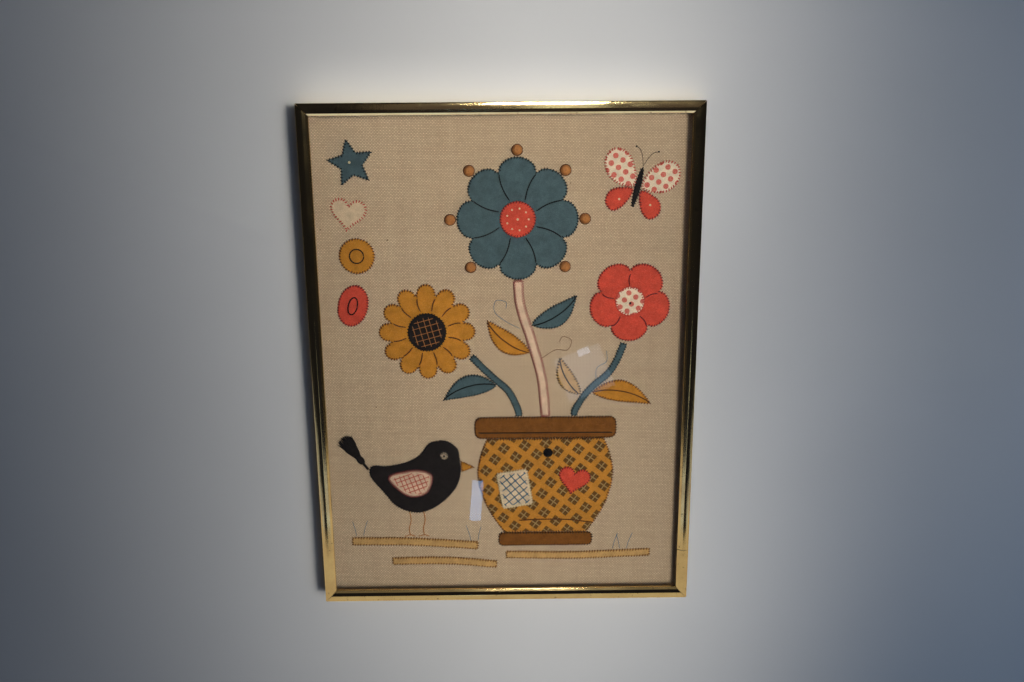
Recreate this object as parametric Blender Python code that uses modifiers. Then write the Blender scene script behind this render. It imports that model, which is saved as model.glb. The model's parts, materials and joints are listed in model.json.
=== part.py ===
"""Framed needlework: felt applique on stretched linen, under glass, in a mitred metal frame.

It lies on its back. The frame's outer rectangle is centred on the origin, the rear flanges
touch z = 0, the picture faces +Z and its top edge is towards +Y. Units are metres.
"""

import math

import bmesh
import bpy
from mathutils import Matrix, Vector

MM = 0.001
GAP = 0.3 * MM  # between any two pieces

# The frame
OUTER_WIDTH = 311 * MM
OUTER_HEIGHT = 413 * MM
DEPTH = 18 * MM
WALL = 1.5 * MM  # outer side wall of the section
FLANGE_WIDTH = 7.0 * MM  # rear flange, which rests on the surface
FLANGE_THICKNESS = 1.2 * MM
# Its front, from the outer side inwards: a crowned face, a facet, and a steeper sight lip
CREST_INSET = 3.8 * MM  # from the outer side to the highest line of the face
FACE_RADIUS = 10.0 * MM
FACE_STEPS = 8
FACET_INSET = 5.1 * MM
FACET_SLOPE = 21  # degrees
LIP_INSET = 7.6 * MM
LIP_SLOPE = 40
SIGHT_INSET = 9.3 * MM  # the sight edge, which stands upright on the glass
LIP_UNDERSIDE = 13.4 * MM

# What the frame's channel holds, from the front to the back
SLACK = 1.2 * MM  # between the side walls and what lies in the channel
GLASS_THICKNESS = 2.0 * MM
AIR_SPACE = 3.3 * MM  # from the glass to the linen
LINEN_THICKNESS = 1.0 * MM
BOARD_THICKNESS = 3.0 * MM
FELT_THICKNESS = 1.0 * MM

GLASS_BOTTOM = LIP_UNDERSIDE - GAP - GLASS_THICKNESS
LINEN_TOP = GLASS_BOTTOM - AIR_SPACE
LINEN_BOTTOM = LINEN_TOP - LINEN_THICKNESS
BOARD_BOTTOM = LINEN_BOTTOM - GAP - BOARD_THICKNESS
PANE_WIDTH = OUTER_WIDTH - 2 * (WALL + SLACK)
PANE_HEIGHT = OUTER_HEIGHT - 2 * (WALL + SLACK)

# Underside of a felt piece laid on the linen (level 1) and on another felt piece (level 2)
LEVEL_BOTTOM = {1: LINEN_TOP + GAP, 2: LINEN_TOP + 2 * GAP + FELT_THICKNESS}

# Colour, roughness and metallic value of each material
MATERIALS = {
    "gold_metal": ((0.72, 0.54, 0.24), 0.16, 1.0),
    "clear_glass": ((0.90, 0.95, 0.93), 0.03, 0.0),
    "fibreboard": ((0.33, 0.22, 0.13), 0.85, 0.0),
    "linen": ((0.52, 0.42, 0.29), 0.90, 0.0),
    "mustard_felt": ((0.56, 0.28, 0.04), 0.95, 0.0),
    "plaid_felt": ((0.50, 0.26, 0.05), 0.95, 0.0),
    "brown_felt": ((0.20, 0.09, 0.03), 0.95, 0.0),
    "tan_felt": ((0.48, 0.27, 0.09), 0.95, 0.0),
    "teal_felt": ((0.08, 0.16, 0.20), 0.95, 0.0),
    "coral_felt": ((0.62, 0.08, 0.05), 0.95, 0.0),
    "orange_felt": ((0.60, 0.22, 0.04), 0.95, 0.0),
    "cream_felt": ((0.74, 0.60, 0.44), 0.95, 0.0),
    "dotted_felt": ((0.74, 0.55, 0.42), 0.95, 0.0),
    "pink_felt": ((0.66, 0.36, 0.28), 0.95, 0.0),
    "black_felt": ((0.012, 0.012, 0.018), 0.95, 0.0),
}

# The applique. All its tables are in millimetres and degrees on the picture, from its centre.
STEM_GAP = 0.5  # between a stem and the piece that it grows from or into
POT_X = 34
POT_TOP = -64
# How far the pot's side stands from its middle line, at each height
POT_PROFILE = [(49, -64), (55, -80), (57, -97), (53, -116), (45, -133), (35, -148)]
POT_RIM = {"width": 118, "height": 18.5, "corner": 5.0}
POT_FOOT = {"width": 80, "height": 12.0, "corner": 3.5}
POT_FOOT_TOP = -148.5

# name: (middle x, middle y, outer radius, petals, petal depth, turn, material)
BLOOMS = {
    "teal_bloom": (12, 118, 48, 8, 0.20, -90, "teal_felt"),
    "mustard_bloom": (-62, 28, 39, 12, 0.24, -30, "mustard_felt"),
    "coral_bloom": (102, 52, 33, 5, 0.26, -90, "coral_felt"),
}
# name: (bloom, radius, material)
BLOOM_CENTRES = {
    "teal_bloom_centre": ("teal_bloom", 14.0, "coral_felt"),
    "mustard_bloom_centre": ("mustard_bloom", 15.5, "black_felt"),
    "coral_bloom_centre": ("coral_bloom", 11.5, "dotted_felt"),
}
BLOOM_STEPS = 100  # round one bloom
DISC_STEPS = 32
BERRY_RADIUS = 4.2
BERRY_COUNT = 7
BERRY_HEIGHT = 2.6
BUTTON_RADIUS = 4.2
BUTTON_HEIGHT = 1.3
DOME_SIDES = 14
DOME_RINGS = 3

# name: (points along the middle line, width, material)
STEMS = {
    "stem_main": ([(34, -44.4), (31, -12), (22, 22), (14, 48), (12, 69.2)], 7.0, "pink_felt"),
    "stem_left": ([(12, -44.2), (11, -38), (3, -22), (-12, -8), (-26.5, 7)], 5.5, "teal_felt"),
    "stem_right": ([(58, -44.2), (59, -38), (70, -22), (88, -5), (98, 17)], 5.5, "teal_felt"),
}
# name: (stem, place along it, side, direction, length, width, bend, material)
LEAVES = {
    "leaf_main_left": ("stem_main", 0.40, 1, 142, 44, 17, 5, "mustard_felt"),
    "leaf_main_right": ("stem_main", 0.58, -1, 34, 44, 17, -5, "teal_felt"),
    "leaf_left": ("stem_left", 0.62, 1, 196, 46, 18, -6, "teal_felt"),
    "leaf_right": ("stem_right", 0.48, -1, -12, 50, 18, 6, "mustard_felt"),
    "leaf_inner": ("stem_right", 0.42, 1, 118, 36, 14, 4, "tan_felt"),
}

# Points round the bird, and further down round the right wings of the butterfly
BIRD_BODY = [
    (-38, -83), (-40, -72), (-50, -65), (-63, -67), (-71, -77), (-84, -84), (-99, -87),
    (-112, -87), (-113.5, -96), (-103, -110), (-91, -124), (-73, -129), (-55, -121), (-42, -107),
    (-37.5, -93),
]
BIRD_WING = [
    (-62, -96), (-70, -91), (-84, -91.5), (-98, -96), (-92, -106), (-80, -114), (-66, -110),
]
BIRD_BEAK = [(-37.1, -83.2), (-25.5, -88.6), (-36.7, -92.6)]
BIRD_EYE = {"x": -51, "y": -78, "radius": 3.4}

BUTTERFLY = {"x": 106, "y": 142, "turn": -14}
BUTTERFLY_BODY = {"half_width": 2.3, "half_height": 16.0}
UPPER_WING = [(2.9, 1.5), (6, 14), (15, 24), (26, 24), (30, 14), (24, 3), (12, -1)]
LOWER_WING = [(2.9, -2.5), (12, -3), (20, -7), (22, -16), (15, -22), (7, -16)]

# The tassel at the bird's tail: where its cord leaves the tail, and which way it lies
TASSEL = {"x": -115.6, "y": -88.4, "direction": 126, "skirt": 20.0}
TASSEL_THICKNESS = 2.4
# The neck and the head: the radius at each distance along it, before it is flattened
TASSEL_PROFILE = [
    {"along": 0.0, "radius": 1.2},
    {"along": 6.5, "radius": 1.2},
    {"along": 7.5, "radius": 2.3},
    {"along": 9.5, "radius": 3.0},
    {"along": 12.0, "radius": 3.1},
    {"along": 13.5, "radius": 2.5},
    {"along": 15.5, "radius": 3.0},
    {"along": 16.5, "radius": 3.2},
]
STRANDS_PER_LAYER = 11
STRAND_LAYERS = 2
STRAND_LAYER_PITCH = 1.0
STRAND_SIDES = 3
STRAND_RADIUS = 0.45  # at the tip
STRAND_ROOT_RADIUS = 0.2
FAN_ANGLE = 40  # that the strands spread over
FAN_ROOT = 7.0  # from the fan's centre to the strands' roots
FAN_INSET = 1.5  # of the roots in the head

# name: (points along the middle line, width)
GROUND_BARS = {
    "ground_bar_left": ([(-132, -155), (-80, -156), (-24, -160)], 7.0),
    "ground_bar_middle": ([(-98, -174), (-50, -174), (-8, -178)], 6.5),
    "ground_bar_right": ([(0, -169), (60, -170), (124, -168)], 6.5),
}


def clear_scene():
    for obj in list(bpy.data.objects):
        bpy.data.objects.remove(obj)


def make_materials():
    for name, (colour, roughness, metallic) in MATERIALS.items():
        material = bpy.data.materials.new(name)
        material.use_nodes = True
        shader = material.node_tree.nodes["Principled BSDF"]
        shader.inputs["Base Color"].default_value = (*colour, 1)
        shader.inputs["Roughness"].default_value = roughness
        shader.inputs["Metallic"].default_value = metallic


def add_piece(name, data, collection, material):
    """A named object of the part, holding this mesh or curve."""
    data.materials.append(bpy.data.materials[material])
    obj = bpy.data.objects.new(name, data)
    collection.objects.link(obj)
    return obj


def arc(middle, radius, start, end, steps):
    """Points on a circle from one angle to the other, in degrees."""
    angles = [math.radians(start + (end - start) * i / steps) for i in range(steps + 1)]
    return [
        (middle[0] + radius * math.cos(a), middle[1] + radius * math.sin(a)) for a in angles
    ]


def ellipse(half_width, half_height, steps):
    angles = [2 * math.pi * i / steps for i in range(steps)]
    return [(half_width * math.cos(a), half_height * math.sin(a)) for a in angles]


def rounded_box(width, height, corner, steps=4):
    points = []
    for quarter, (sx, sy) in enumerate([(1, 1), (-1, 1), (-1, -1), (1, -1)]):
        middle = (sx * (width / 2 - corner), sy * (height / 2 - corner))
        points += arc(middle, corner, 90 * quarter, 90 * (quarter + 1), steps)
    return points


def petalled(radius, petals, depth, steps):
    """A round bloom. Each petal bulges to the radius, and the notches lie depth of it further in."""
    points = []
    for i in range(petals * steps):
        angle = 2 * math.pi * i / (petals * steps)
        bulge = abs(math.cos(petals * angle / 2)) ** 0.55
        reach = radius * (1 - depth + depth * bulge)
        points.append((reach * math.cos(angle), reach * math.sin(angle)))
    return points


def star(tips, outer, inner):
    points = []
    for i in range(2 * tips):
        angle = math.pi / 2 + math.pi * i / tips
        reach = inner if i % 2 else outer
        points.append((reach * math.cos(angle), reach * math.sin(angle)))
    return points


def heart(width, steps=36):
    """The usual heart curve, scaled to the width."""
    scale = width / 32
    points = []
    for i in range(steps):
        a = 2 * math.pi * i / steps
        x = 16 * math.sin(a) ** 3
        y = 13 * math.cos(a) - 5 * math.cos(2 * a) - 2 * math.cos(3 * a) - math.cos(4 * a)
        points.append((-x * scale, y * scale))
    return points


def between(p0, p1, p2, p3, t):
    """A point of the smooth curve that runs from p1 to p2, with p0 and p3 as its neighbours."""
    return tuple(
        b
        + (c - a) / 2 * t
        + (2 * a - 5 * b + 4 * c - d) / 2 * t**2
        + (3 * b - a - 3 * c + d) / 2 * t**3
        for a, b, c, d in zip(p0, p1, p2, p3)
    )


def smooth_line(points, steps):
    """A smooth open curve through the points."""
    ends = [points[0], *points, points[-1]]
    line = []
    for i in range(len(points) - 1):
        line += [between(*ends[i : i + 4], k / steps) for k in range(steps)]
    return [*line, points[-1]]


def smooth_loop(points, steps):
    """A smooth closed curve through the points."""
    n = len(points)
    loop = []
    for i in range(n):
        around = [points[(i + k) % n] for k in (-1, 0, 1, 2)]
        loop += [between(*around, k / steps) for k in range(steps)]
    return loop


def sideways(line, i):
    """Unit vector to the left of an open line at its point i."""
    a = line[max(i - 1, 0)]
    b = line[min(i + 1, len(line) - 1)]
    length = math.dist(a, b)
    return (a[1] - b[1]) / length, (b[0] - a[0]) / length


def band(line, width):
    """The outline of a strip of even width along an open line, with square ends."""
    left, right = [], []
    for i, (x, y) in enumerate(line):
        nx, ny = sideways(line, i)
        left.append((x + nx * width / 2, y + ny * width / 2))
        right.append((x - nx * width / 2, y - ny * width / 2))
    return right + left[::-1]


def leaf(length, width, bend, steps=14):
    """A leaf from the origin along +X. Its midrib bows sideways by bend."""
    upper, lower = [], []
    for i in range(1, steps):
        t = i / steps
        rib = 4 * bend * t * (1 - t)
        half = width / 2 * math.sin(math.pi * t**0.85) ** 0.9
        upper.append((length * t, rib + half))
        lower.append((length * t, rib - half))
    return [(0, 0), *lower, (length, 0), *upper[::-1]]


def mirrored(points):
    return [(-x, y) for x, y in reversed(points)]


def add_felt(name, outline, collection, material, level=1, at=(0, 0), turn=0):
    """A flat cut piece of felt. The outline is in millimetres on the picture."""
    curve = bpy.data.curves.new(name, "CURVE")
    curve.dimensions = "2D"
    curve.fill_mode = "BOTH"
    curve.extrude = FELT_THICKNESS / 2
    spline = curve.splines.new("POLY")
    spline.points.add(len(outline) - 1)
    for point, (x, y) in zip(spline.points, outline):
        point.co = (x * MM, y * MM, 0, 1)
    spline.use_cyclic_u = True
    obj = add_piece(name, curve, collection, material)
    obj.location = (at[0] * MM, at[1] * MM, LEVEL_BOTTOM[level] + FELT_THICKNESS / 2)
    obj.rotation_euler.z = math.radians(turn)
    return obj


def add_dome(name, radius, height, collection, material, level, at):
    """A padded round that bulges up from a flat underside."""
    mesh = bpy.data.meshes.new(name)
    bm = bmesh.new()
    bmesh.ops.create_uvsphere(bm, u_segments=DOME_SIDES, v_segments=2 * DOME_RINGS, radius=1)
    bmesh.ops.bisect_plane(
        bm,
        geom=bm.verts[:] + bm.edges[:] + bm.faces[:],
        dist=1e-5,
        plane_co=(0, 0, 0),
        plane_no=(0, 0, 1),
        clear_inner=True,
    )
    bmesh.ops.holes_fill(bm, edges=[edge for edge in bm.edges if edge.is_boundary])
    bmesh.ops.scale(bm, vec=(radius * MM, radius * MM, height * MM), verts=bm.verts)
    bmesh.ops.recalc_face_normals(bm, faces=bm.faces)
    bm.to_mesh(mesh)
    bm.free()
    obj = add_piece(name, mesh, collection, material)
    obj.location = (at[0] * MM, at[1] * MM, LEVEL_BOTTOM[level])


def add_slab(name, width, height, bottom, thickness, collection, material):
    mesh = bpy.data.meshes.new(name)
    bm = bmesh.new()
    bmesh.ops.create_cube(bm, size=1)
    bmesh.ops.scale(bm, vec=(width, height, thickness), verts=bm.verts)
    bm.to_mesh(mesh)
    bm.free()
    obj = add_piece(name, mesh, collection, material)
    obj.location.z = bottom + thickness / 2


def moulding_profile():
    """The section as (distance in from the outer side, height), anticlockwise round the metal."""
    crown_middle = (CREST_INSET, DEPTH - FACE_RADIUS)
    outer_slope = math.degrees(math.asin(CREST_INSET / FACE_RADIUS))
    inner_slope = math.degrees(math.asin((FACET_INSET - CREST_INSET) / FACE_RADIUS))
    face = arc(crown_middle, FACE_RADIUS, 90 - inner_slope, 90 + outer_slope, FACE_STEPS)
    lip_top = face[0][1] - (LIP_INSET - FACET_INSET) * math.tan(math.radians(FACET_SLOPE))
    sight_top = lip_top - (SIGHT_INSET - LIP_INSET) * math.tan(math.radians(LIP_SLOPE))
    channel = [
        (0, 0),
        (FLANGE_WIDTH, 0),
        (FLANGE_WIDTH, FLANGE_THICKNESS),
        (WALL, FLANGE_THICKNESS),
        (WALL, LIP_UNDERSIDE),
        (SIGHT_INSET, LIP_UNDERSIDE),
        (SIGHT_INSET, sight_top),
        (LIP_INSET, lip_top),
    ]
    return channel + face


def add_moulding(name, length, outward, offset, collection):
    """One side of the frame: the section drawn along its length, with both ends mitred.

    The side lies offset from the middle, and outward is the turn that faces its outer wall there.
    """
    profile = moulding_profile()
    mesh = bpy.data.meshes.new(name)
    bm = bmesh.new()
    face = bm.faces.new([bm.verts.new((0, offset - inward, z)) for inward, z in profile])
    made = bmesh.ops.extrude_face_region(bm, geom=[face])["geom"]
    far_end = {item for item in made if isinstance(item, bmesh.types.BMVert)}
    mitre_clearance = GAP / 2 * math.sqrt(2)
    for vert in bm.verts:
        inward = offset - vert.co.y
        reach = length / 2 - inward - mitre_clearance
        vert.co.x = reach if vert in far_end else -reach
    bmesh.ops.recalc_face_normals(bm, faces=bm.faces)
    bm.to_mesh(mesh)
    bm.free()
    obj = add_piece(name, mesh, collection, "gold_metal")
    obj.rotation_euler.z = math.radians(outward)


def add_frame(collection):
    add_moulding("moulding_top", OUTER_WIDTH, 0, OUTER_HEIGHT / 2, collection)
    add_moulding("moulding_left", OUTER_HEIGHT, 90, OUTER_WIDTH / 2, collection)
    add_moulding("moulding_bottom", OUTER_WIDTH, 180, OUTER_HEIGHT / 2, collection)
    add_moulding("moulding_right", OUTER_HEIGHT, 270, OUTER_WIDTH / 2, collection)


def add_layers(collection):
    """The glass, the linen and the board that stretches it, one behind the other."""
    for name, bottom, thickness, material in (
        ("glass_pane", GLASS_BOTTOM, GLASS_THICKNESS, "clear_glass"),
        ("linen_ground", LINEN_BOTTOM, LINEN_THICKNESS, "linen"),
        ("backing_board", BOARD_BOTTOM, BOARD_THICKNESS, "fibreboard"),
    ):
        add_slab(name, PANE_WIDTH, PANE_HEIGHT, bottom, thickness, collection, material)


def add_pot(collection):
    side = smooth_line(POT_PROFILE, 5)
    add_felt("pot_body", mirrored(side) + side, collection, "plaid_felt", at=(POT_X, 0))
    rim_y = POT_TOP + STEM_GAP + POT_RIM["height"] / 2
    add_felt("pot_rim", rounded_box(*POT_RIM.values()), collection, "brown_felt", at=(POT_X, rim_y))
    foot_y = POT_FOOT_TOP - POT_FOOT["height"] / 2
    add_felt("pot_foot", rounded_box(*POT_FOOT.values()), collection, "brown_felt", at=(POT_X, foot_y))
    square = rounded_box(26, 32, 2)
    add_felt("pot_square", square, collection, "cream_felt", level=2, at=(8, -108), turn=9)
    add_felt("pot_heart", heart(27), collection, "coral_felt", level=2, at=(58, -100), turn=-12)
    add_dome("pot_button", BUTTON_RADIUS, BUTTON_HEIGHT, collection, "black_felt", 2, (36, -76))


def add_blooms(collection):
    for name, (x, y, radius, petals, depth, turn, material) in BLOOMS.items():
        steps = BLOOM_STEPS // petals
        add_felt(
            name, petalled(radius, petals, depth, steps), collection, material, at=(x, y), turn=turn
        )
    for name, (bloom, radius, material) in BLOOM_CENTRES.items():
        at = BLOOMS[bloom][:2]
        add_felt(name, ellipse(radius, radius, DISC_STEPS), collection, material, level=2, at=at)


def add_berries(collection):
    """One berry beyond the tip of each of the teal bloom's petals, but for the petal on the stem."""
    x, y, radius, petals = BLOOMS["teal_bloom"][:4]
    reach = radius + BERRY_RADIUS + 2 * STEM_GAP
    for i in range(BERRY_COUNT):
        angle = math.radians(-90 + 360 / petals * (i + 1))
        at = (x + reach * math.cos(angle), y + reach * math.sin(angle))
        name = f"berry_{i + 1}"
        add_dome(name, BERRY_RADIUS, BERRY_HEIGHT, collection, "orange_felt", 1, at)


def add_stems(collection):
    lines = {name: smooth_line(points, 6) for name, (points, _, _) in STEMS.items()}
    for name, (_, width, material) in STEMS.items():
        add_felt(name, band(lines[name], width), collection, material)
    for name, (stem, place, side, direction, length, width, bend, material) in LEAVES.items():
        line = lines[stem]
        i = round(place * (len(line) - 1))
        nx, ny = sideways(line, i)
        away = side * (STEMS[stem][1] / 2 + STEM_GAP)
        at = (line[i][0] + away * nx, line[i][1] + away * ny)
        add_felt(name, leaf(length, width, bend), collection, material, at=at, turn=direction)


def add_bird(collection):
    add_felt("bird_body", smooth_loop(BIRD_BODY, 6), collection, "black_felt")
    add_felt("bird_wing", smooth_loop(BIRD_WING, 6), collection, "pink_felt", level=2)
    add_felt("bird_beak", BIRD_BEAK, collection, "mustard_felt")
    eye = ellipse(BIRD_EYE["radius"], BIRD_EYE["radius"], 14)
    add_felt("bird_eye", eye, collection, "cream_felt", level=2, at=(BIRD_EYE["x"], BIRD_EYE["y"]))


def add_butterfly(collection):
    at, turn = (BUTTERFLY["x"], BUTTERFLY["y"]), BUTTERFLY["turn"]
    body = ellipse(BUTTERFLY_BODY["half_width"], BUTTERFLY_BODY["half_height"], 16)
    add_felt("butterfly_body", body, collection, "black_felt", at=at, turn=turn)
    for wing, points, steps, material in (
        ("upper", UPPER_WING, 6, "dotted_felt"),
        ("lower", LOWER_WING, 6, "coral_felt"),
    ):
        right = smooth_loop(points, steps)
        add_felt(f"{wing}_wing_right", right, collection, material, at=at, turn=turn)
        add_felt(f"{wing}_wing_left", mirrored(right), collection, material, at=at, turn=turn)


def add_small_motifs(collection):
    """Four small shapes, one under another down the left side."""
    add_felt("small_star", star(5, 19, 9), collection, "teal_felt", at=(-117, 162), turn=10)
    add_felt("small_heart", heart(28), collection, "cream_felt", at=(-121, 124), turn=-8)
    add_felt("small_disc", ellipse(14, 14, DISC_STEPS), collection, "mustard_felt", at=(-116, 90))
    add_felt("small_oval", ellipse(12, 17, DISC_STEPS), collection, "coral_felt", at=(-121, 50), turn=-16)


def add_ground_bars(collection):
    for name, (points, width) in GROUND_BARS.items():
        add_felt(name, band(smooth_line(points, 8), width), collection, "tan_felt")


def add_strand(bm, start, end, height):
    """A straight tapered strand that lies level between two points on the picture."""
    dx, dy = end[0] - start[0], end[1] - start[1]
    length = math.hypot(dx, dy)
    made = bmesh.ops.create_cone(
        bm,
        cap_ends=True,
        segments=STRAND_SIDES,
        radius1=STRAND_ROOT_RADIUS * MM,
        radius2=STRAND_RADIUS * MM,
        depth=length * MM,
    )
    middle = Vector(((start[0] + end[0]) / 2 * MM, (start[1] + end[1]) / 2 * MM, height))
    level_turn = Matrix.Rotation(math.atan2(dy, dx), 4, "Z") @ Matrix.Rotation(math.pi / 2, 4, "Y")
    bmesh.ops.transform(bm, matrix=Matrix.Translation(middle) @ level_turn, verts=made["verts"])


def tassel_strands(cutters, height):
    """All the strands, in layers that fan out of the head."""
    mesh = bpy.data.meshes.new("tassel_strands")
    bm = bmesh.new()
    ahead = math.radians(TASSEL["direction"])
    back = TASSEL_PROFILE[-1]["along"] - FAN_INSET - FAN_ROOT
    middle = (TASSEL["x"] + back * math.cos(ahead), TASSEL["y"] + back * math.sin(ahead))
    for layer in range(STRAND_LAYERS):
        rise = (layer - (STRAND_LAYERS - 1) / 2) * STRAND_LAYER_PITCH * MM
        count = STRANDS_PER_LAYER - layer
        for i in range(count):
            spread = math.radians(FAN_ANGLE) * (i / (count - 1) - 0.5) * count / STRANDS_PER_LAYER
            length = TASSEL["skirt"] * (1 - 0.10 * ((i * 5 + layer * 3) % 4))
            c, s = math.cos(ahead + spread), math.sin(ahead + spread)
            start, end = (
                (middle[0] + reach * c, middle[1] + reach * s)
                for reach in (FAN_ROOT, FAN_ROOT + length)
            )
            add_strand(bm, start, end, height + rise)
    bm.to_mesh(mesh)
    bm.free()
    strands = bpy.data.objects.new("tassel_strands", mesh)
    strands.hide_render = True
    strands.display_type = "WIRE"
    cutters.objects.link(strands)
    return strands


def add_tassel(collection, cutters):
    """A yarn tassel that lies flat: a neck and a bound head, turned and flattened, and strands."""
    height = LEVEL_BOTTOM[1] + TASSEL_THICKNESS / 2 * MM
    mesh = bpy.data.meshes.new("tail_tassel")
    bm = bmesh.new()
    side = [(row["radius"], row["along"]) for row in reversed(TASSEL_PROFILE)]
    half_section = [(0, side[0][1]), *side, (0, side[-1][1])]
    verts = [bm.verts.new((radius * MM, 0, along * MM)) for radius, along in half_section]
    for a, b in zip(verts, verts[1:]):
        bm.edges.new((a, b))
    bm.to_mesh(mesh)
    bm.free()
    tassel = add_piece("tail_tassel", mesh, collection, "black_felt")
    tassel.location = (TASSEL["x"] * MM, TASSEL["y"] * MM, height)
    tassel.rotation_euler = (0, math.pi / 2, math.radians(TASSEL["direction"]))
    widest = max(row["radius"] for row in TASSEL_PROFILE)
    tassel.scale.x = TASSEL_THICKNESS / 2 / widest
    turn = tassel.modifiers.new("turn", "SCREW")
    turn.angle = 2 * math.pi
    turn.steps = turn.render_steps = 12
    turn.use_merge_vertices = True
    turn.merge_threshold = 0.00002
    union = tassel.modifiers.new("strands", "BOOLEAN")
    union.operation = "UNION"
    union.object = tassel_strands(cutters, height)


def main():
    clear_scene()
    make_materials()
    collections = []
    for name in ("framed_needlework", "cutters"):
        collection = bpy.data.collections.new(name)
        bpy.context.scene.collection.children.link(collection)
        collections.append(collection)
    part, cutters = collections
    add_frame(part)
    add_layers(part)
    add_pot(part)
    add_stems(part)
    add_blooms(part)
    add_berries(part)
    add_bird(part)
    add_tassel(part, cutters)
    add_butterfly(part)
    add_small_motifs(part)
    add_ground_bars(part)


main()
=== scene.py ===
"""Looks of the framed needlework: gold metal section frame, glass, linen, felt and sewing."""

import json
import math
import random

import bmesh
import bpy
import numpy as np
from mathutils import Matrix, Vector, geometry

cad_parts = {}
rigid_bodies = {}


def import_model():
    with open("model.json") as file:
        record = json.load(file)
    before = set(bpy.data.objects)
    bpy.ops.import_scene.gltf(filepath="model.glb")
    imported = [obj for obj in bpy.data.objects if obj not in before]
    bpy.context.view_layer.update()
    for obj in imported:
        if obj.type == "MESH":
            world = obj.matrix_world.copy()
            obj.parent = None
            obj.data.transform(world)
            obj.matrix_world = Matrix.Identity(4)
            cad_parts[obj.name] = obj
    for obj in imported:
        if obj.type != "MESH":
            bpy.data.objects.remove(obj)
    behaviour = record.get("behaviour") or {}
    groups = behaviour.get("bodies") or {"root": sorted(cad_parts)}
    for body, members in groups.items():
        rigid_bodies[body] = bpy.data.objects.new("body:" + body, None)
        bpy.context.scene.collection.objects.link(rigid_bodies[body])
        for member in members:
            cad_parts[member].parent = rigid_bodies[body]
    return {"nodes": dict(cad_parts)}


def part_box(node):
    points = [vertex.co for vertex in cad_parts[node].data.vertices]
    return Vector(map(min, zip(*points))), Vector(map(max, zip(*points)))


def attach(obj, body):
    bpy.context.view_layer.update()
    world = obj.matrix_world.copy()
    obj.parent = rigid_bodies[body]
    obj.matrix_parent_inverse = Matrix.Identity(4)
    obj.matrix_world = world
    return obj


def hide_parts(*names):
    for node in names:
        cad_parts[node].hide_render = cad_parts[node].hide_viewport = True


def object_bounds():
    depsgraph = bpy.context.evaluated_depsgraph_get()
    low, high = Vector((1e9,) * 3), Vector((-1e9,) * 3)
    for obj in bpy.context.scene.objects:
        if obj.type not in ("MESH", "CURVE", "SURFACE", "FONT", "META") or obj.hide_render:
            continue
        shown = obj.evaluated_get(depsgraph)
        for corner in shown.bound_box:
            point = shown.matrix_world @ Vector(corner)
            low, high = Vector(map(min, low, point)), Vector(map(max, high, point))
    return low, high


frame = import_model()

CAD_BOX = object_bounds()
MM = 0.001

LINEN_BOTTOM, LINEN_TOP = (corner.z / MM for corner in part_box("linen_ground"))
OUTER_LOW, OUTER_HIGH = (np.array(corner) / MM for corner in CAD_BOX)

# ---- Small numeric helpers, all in millimetres on the picture


def smooth_noise(x, y, seed, cell):
    """Value noise from -1 to 1 with features of about one cell."""
    u, v = x / cell + 37.7 * seed, y / cell + 11.3 * seed
    iu, iv = np.floor(u), np.floor(v)
    fu, fv = u - iu, v - iv
    fu, fv = fu * fu * (3 - 2 * fu), fv * fv * (3 - 2 * fv)

    def corner(a, b):
        h = np.sin((iu + a) * 127.1 + (iv + b) * 311.7 + seed * 74.7) * 43758.5453
        return 2 * (h - np.floor(h)) - 1

    low = corner(0, 0) * (1 - fu) + corner(1, 0) * fu
    high = corner(0, 1) * (1 - fu) + corner(1, 1) * fu
    return low * (1 - fv) + high * fv


RIPPLE_MIDDLE, RIPPLE_REACH, RIPPLE_HEIGHT, RIPPLE_LENGTH = (132, 178), (16, 26), 0.34, 4.2


def linen_height(x, y):
    """The stretched linen is nearly flat, with a soft ripple in its upper right corner."""
    wave = 0.10 * smooth_noise(x, y, 1, 70) + 0.05 * smooth_noise(x, y, 2, 24)
    (mx, my), (rx, ry) = RIPPLE_MIDDLE, RIPPLE_REACH
    near_corner = np.exp(-(((x - mx) / rx) ** 2 + ((y - my) / ry) ** 2))
    return LINEN_TOP + wave + RIPPLE_HEIGHT * near_corner * np.sin((x + 0.4 * y) / RIPPLE_LENGTH)


def lengths_along(line):
    """How far along a line each of its points is."""
    return np.concatenate([[0], np.cumsum(np.linalg.norm(np.diff(line, axis=0), axis=1))])


def placed(at, run, line):
    """The places at these lengths along a line, whose own points are at the lengths in run."""
    return np.c_[np.interp(at, run, line[:, 0]), np.interp(at, run, line[:, 1])]


def resampled(loop, step):
    """A closed loop with points an even step apart."""
    closed = np.vstack([loop, loop[:1]])
    run = lengths_along(closed)
    count = max(10, round(run[-1] / step))
    return placed(np.arange(count) * run[-1] / count, run, closed)


def resampled_line(line, step):
    """An open line with points an even step apart."""
    run = lengths_along(line)
    return placed(np.linspace(0, run[-1], max(3, round(run[-1] / step) + 1)), run, line)


def softened(loop, reach):
    """A closed loop smoothed over about this many of its points."""
    width = int(3 * reach)
    weights = np.exp(-0.5 * (np.arange(-width, width + 1) / reach) ** 2)
    weights /= weights.sum()
    return sum(np.roll(loop, k, axis=0) * w for k, w in zip(range(-width, width + 1), weights))


def heading(degrees):
    """The unit direction at this angle, and the one to its left."""
    a = math.radians(degrees)
    return np.array([math.cos(a), math.sin(a)]), np.array([-math.sin(a), math.cos(a)])


def curved(points, steps=10):
    """A smooth open line through the points."""
    p = np.array(points, float)
    p = np.vstack([2 * p[0] - p[1], p, 2 * p[-1] - p[-2]])
    line = []
    for i in range(1, len(p) - 2):
        a, b, c, d = p[i - 1 : i + 3]
        for t in np.arange(steps) / steps:
            line.append(
                b
                + (c - a) / 2 * t
                + (2 * a - 5 * b + 4 * c - d) / 2 * t**2
                + (3 * b - a - 3 * c + d) / 2 * t**3
            )
    return np.array([*line, p[-2]])


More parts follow.
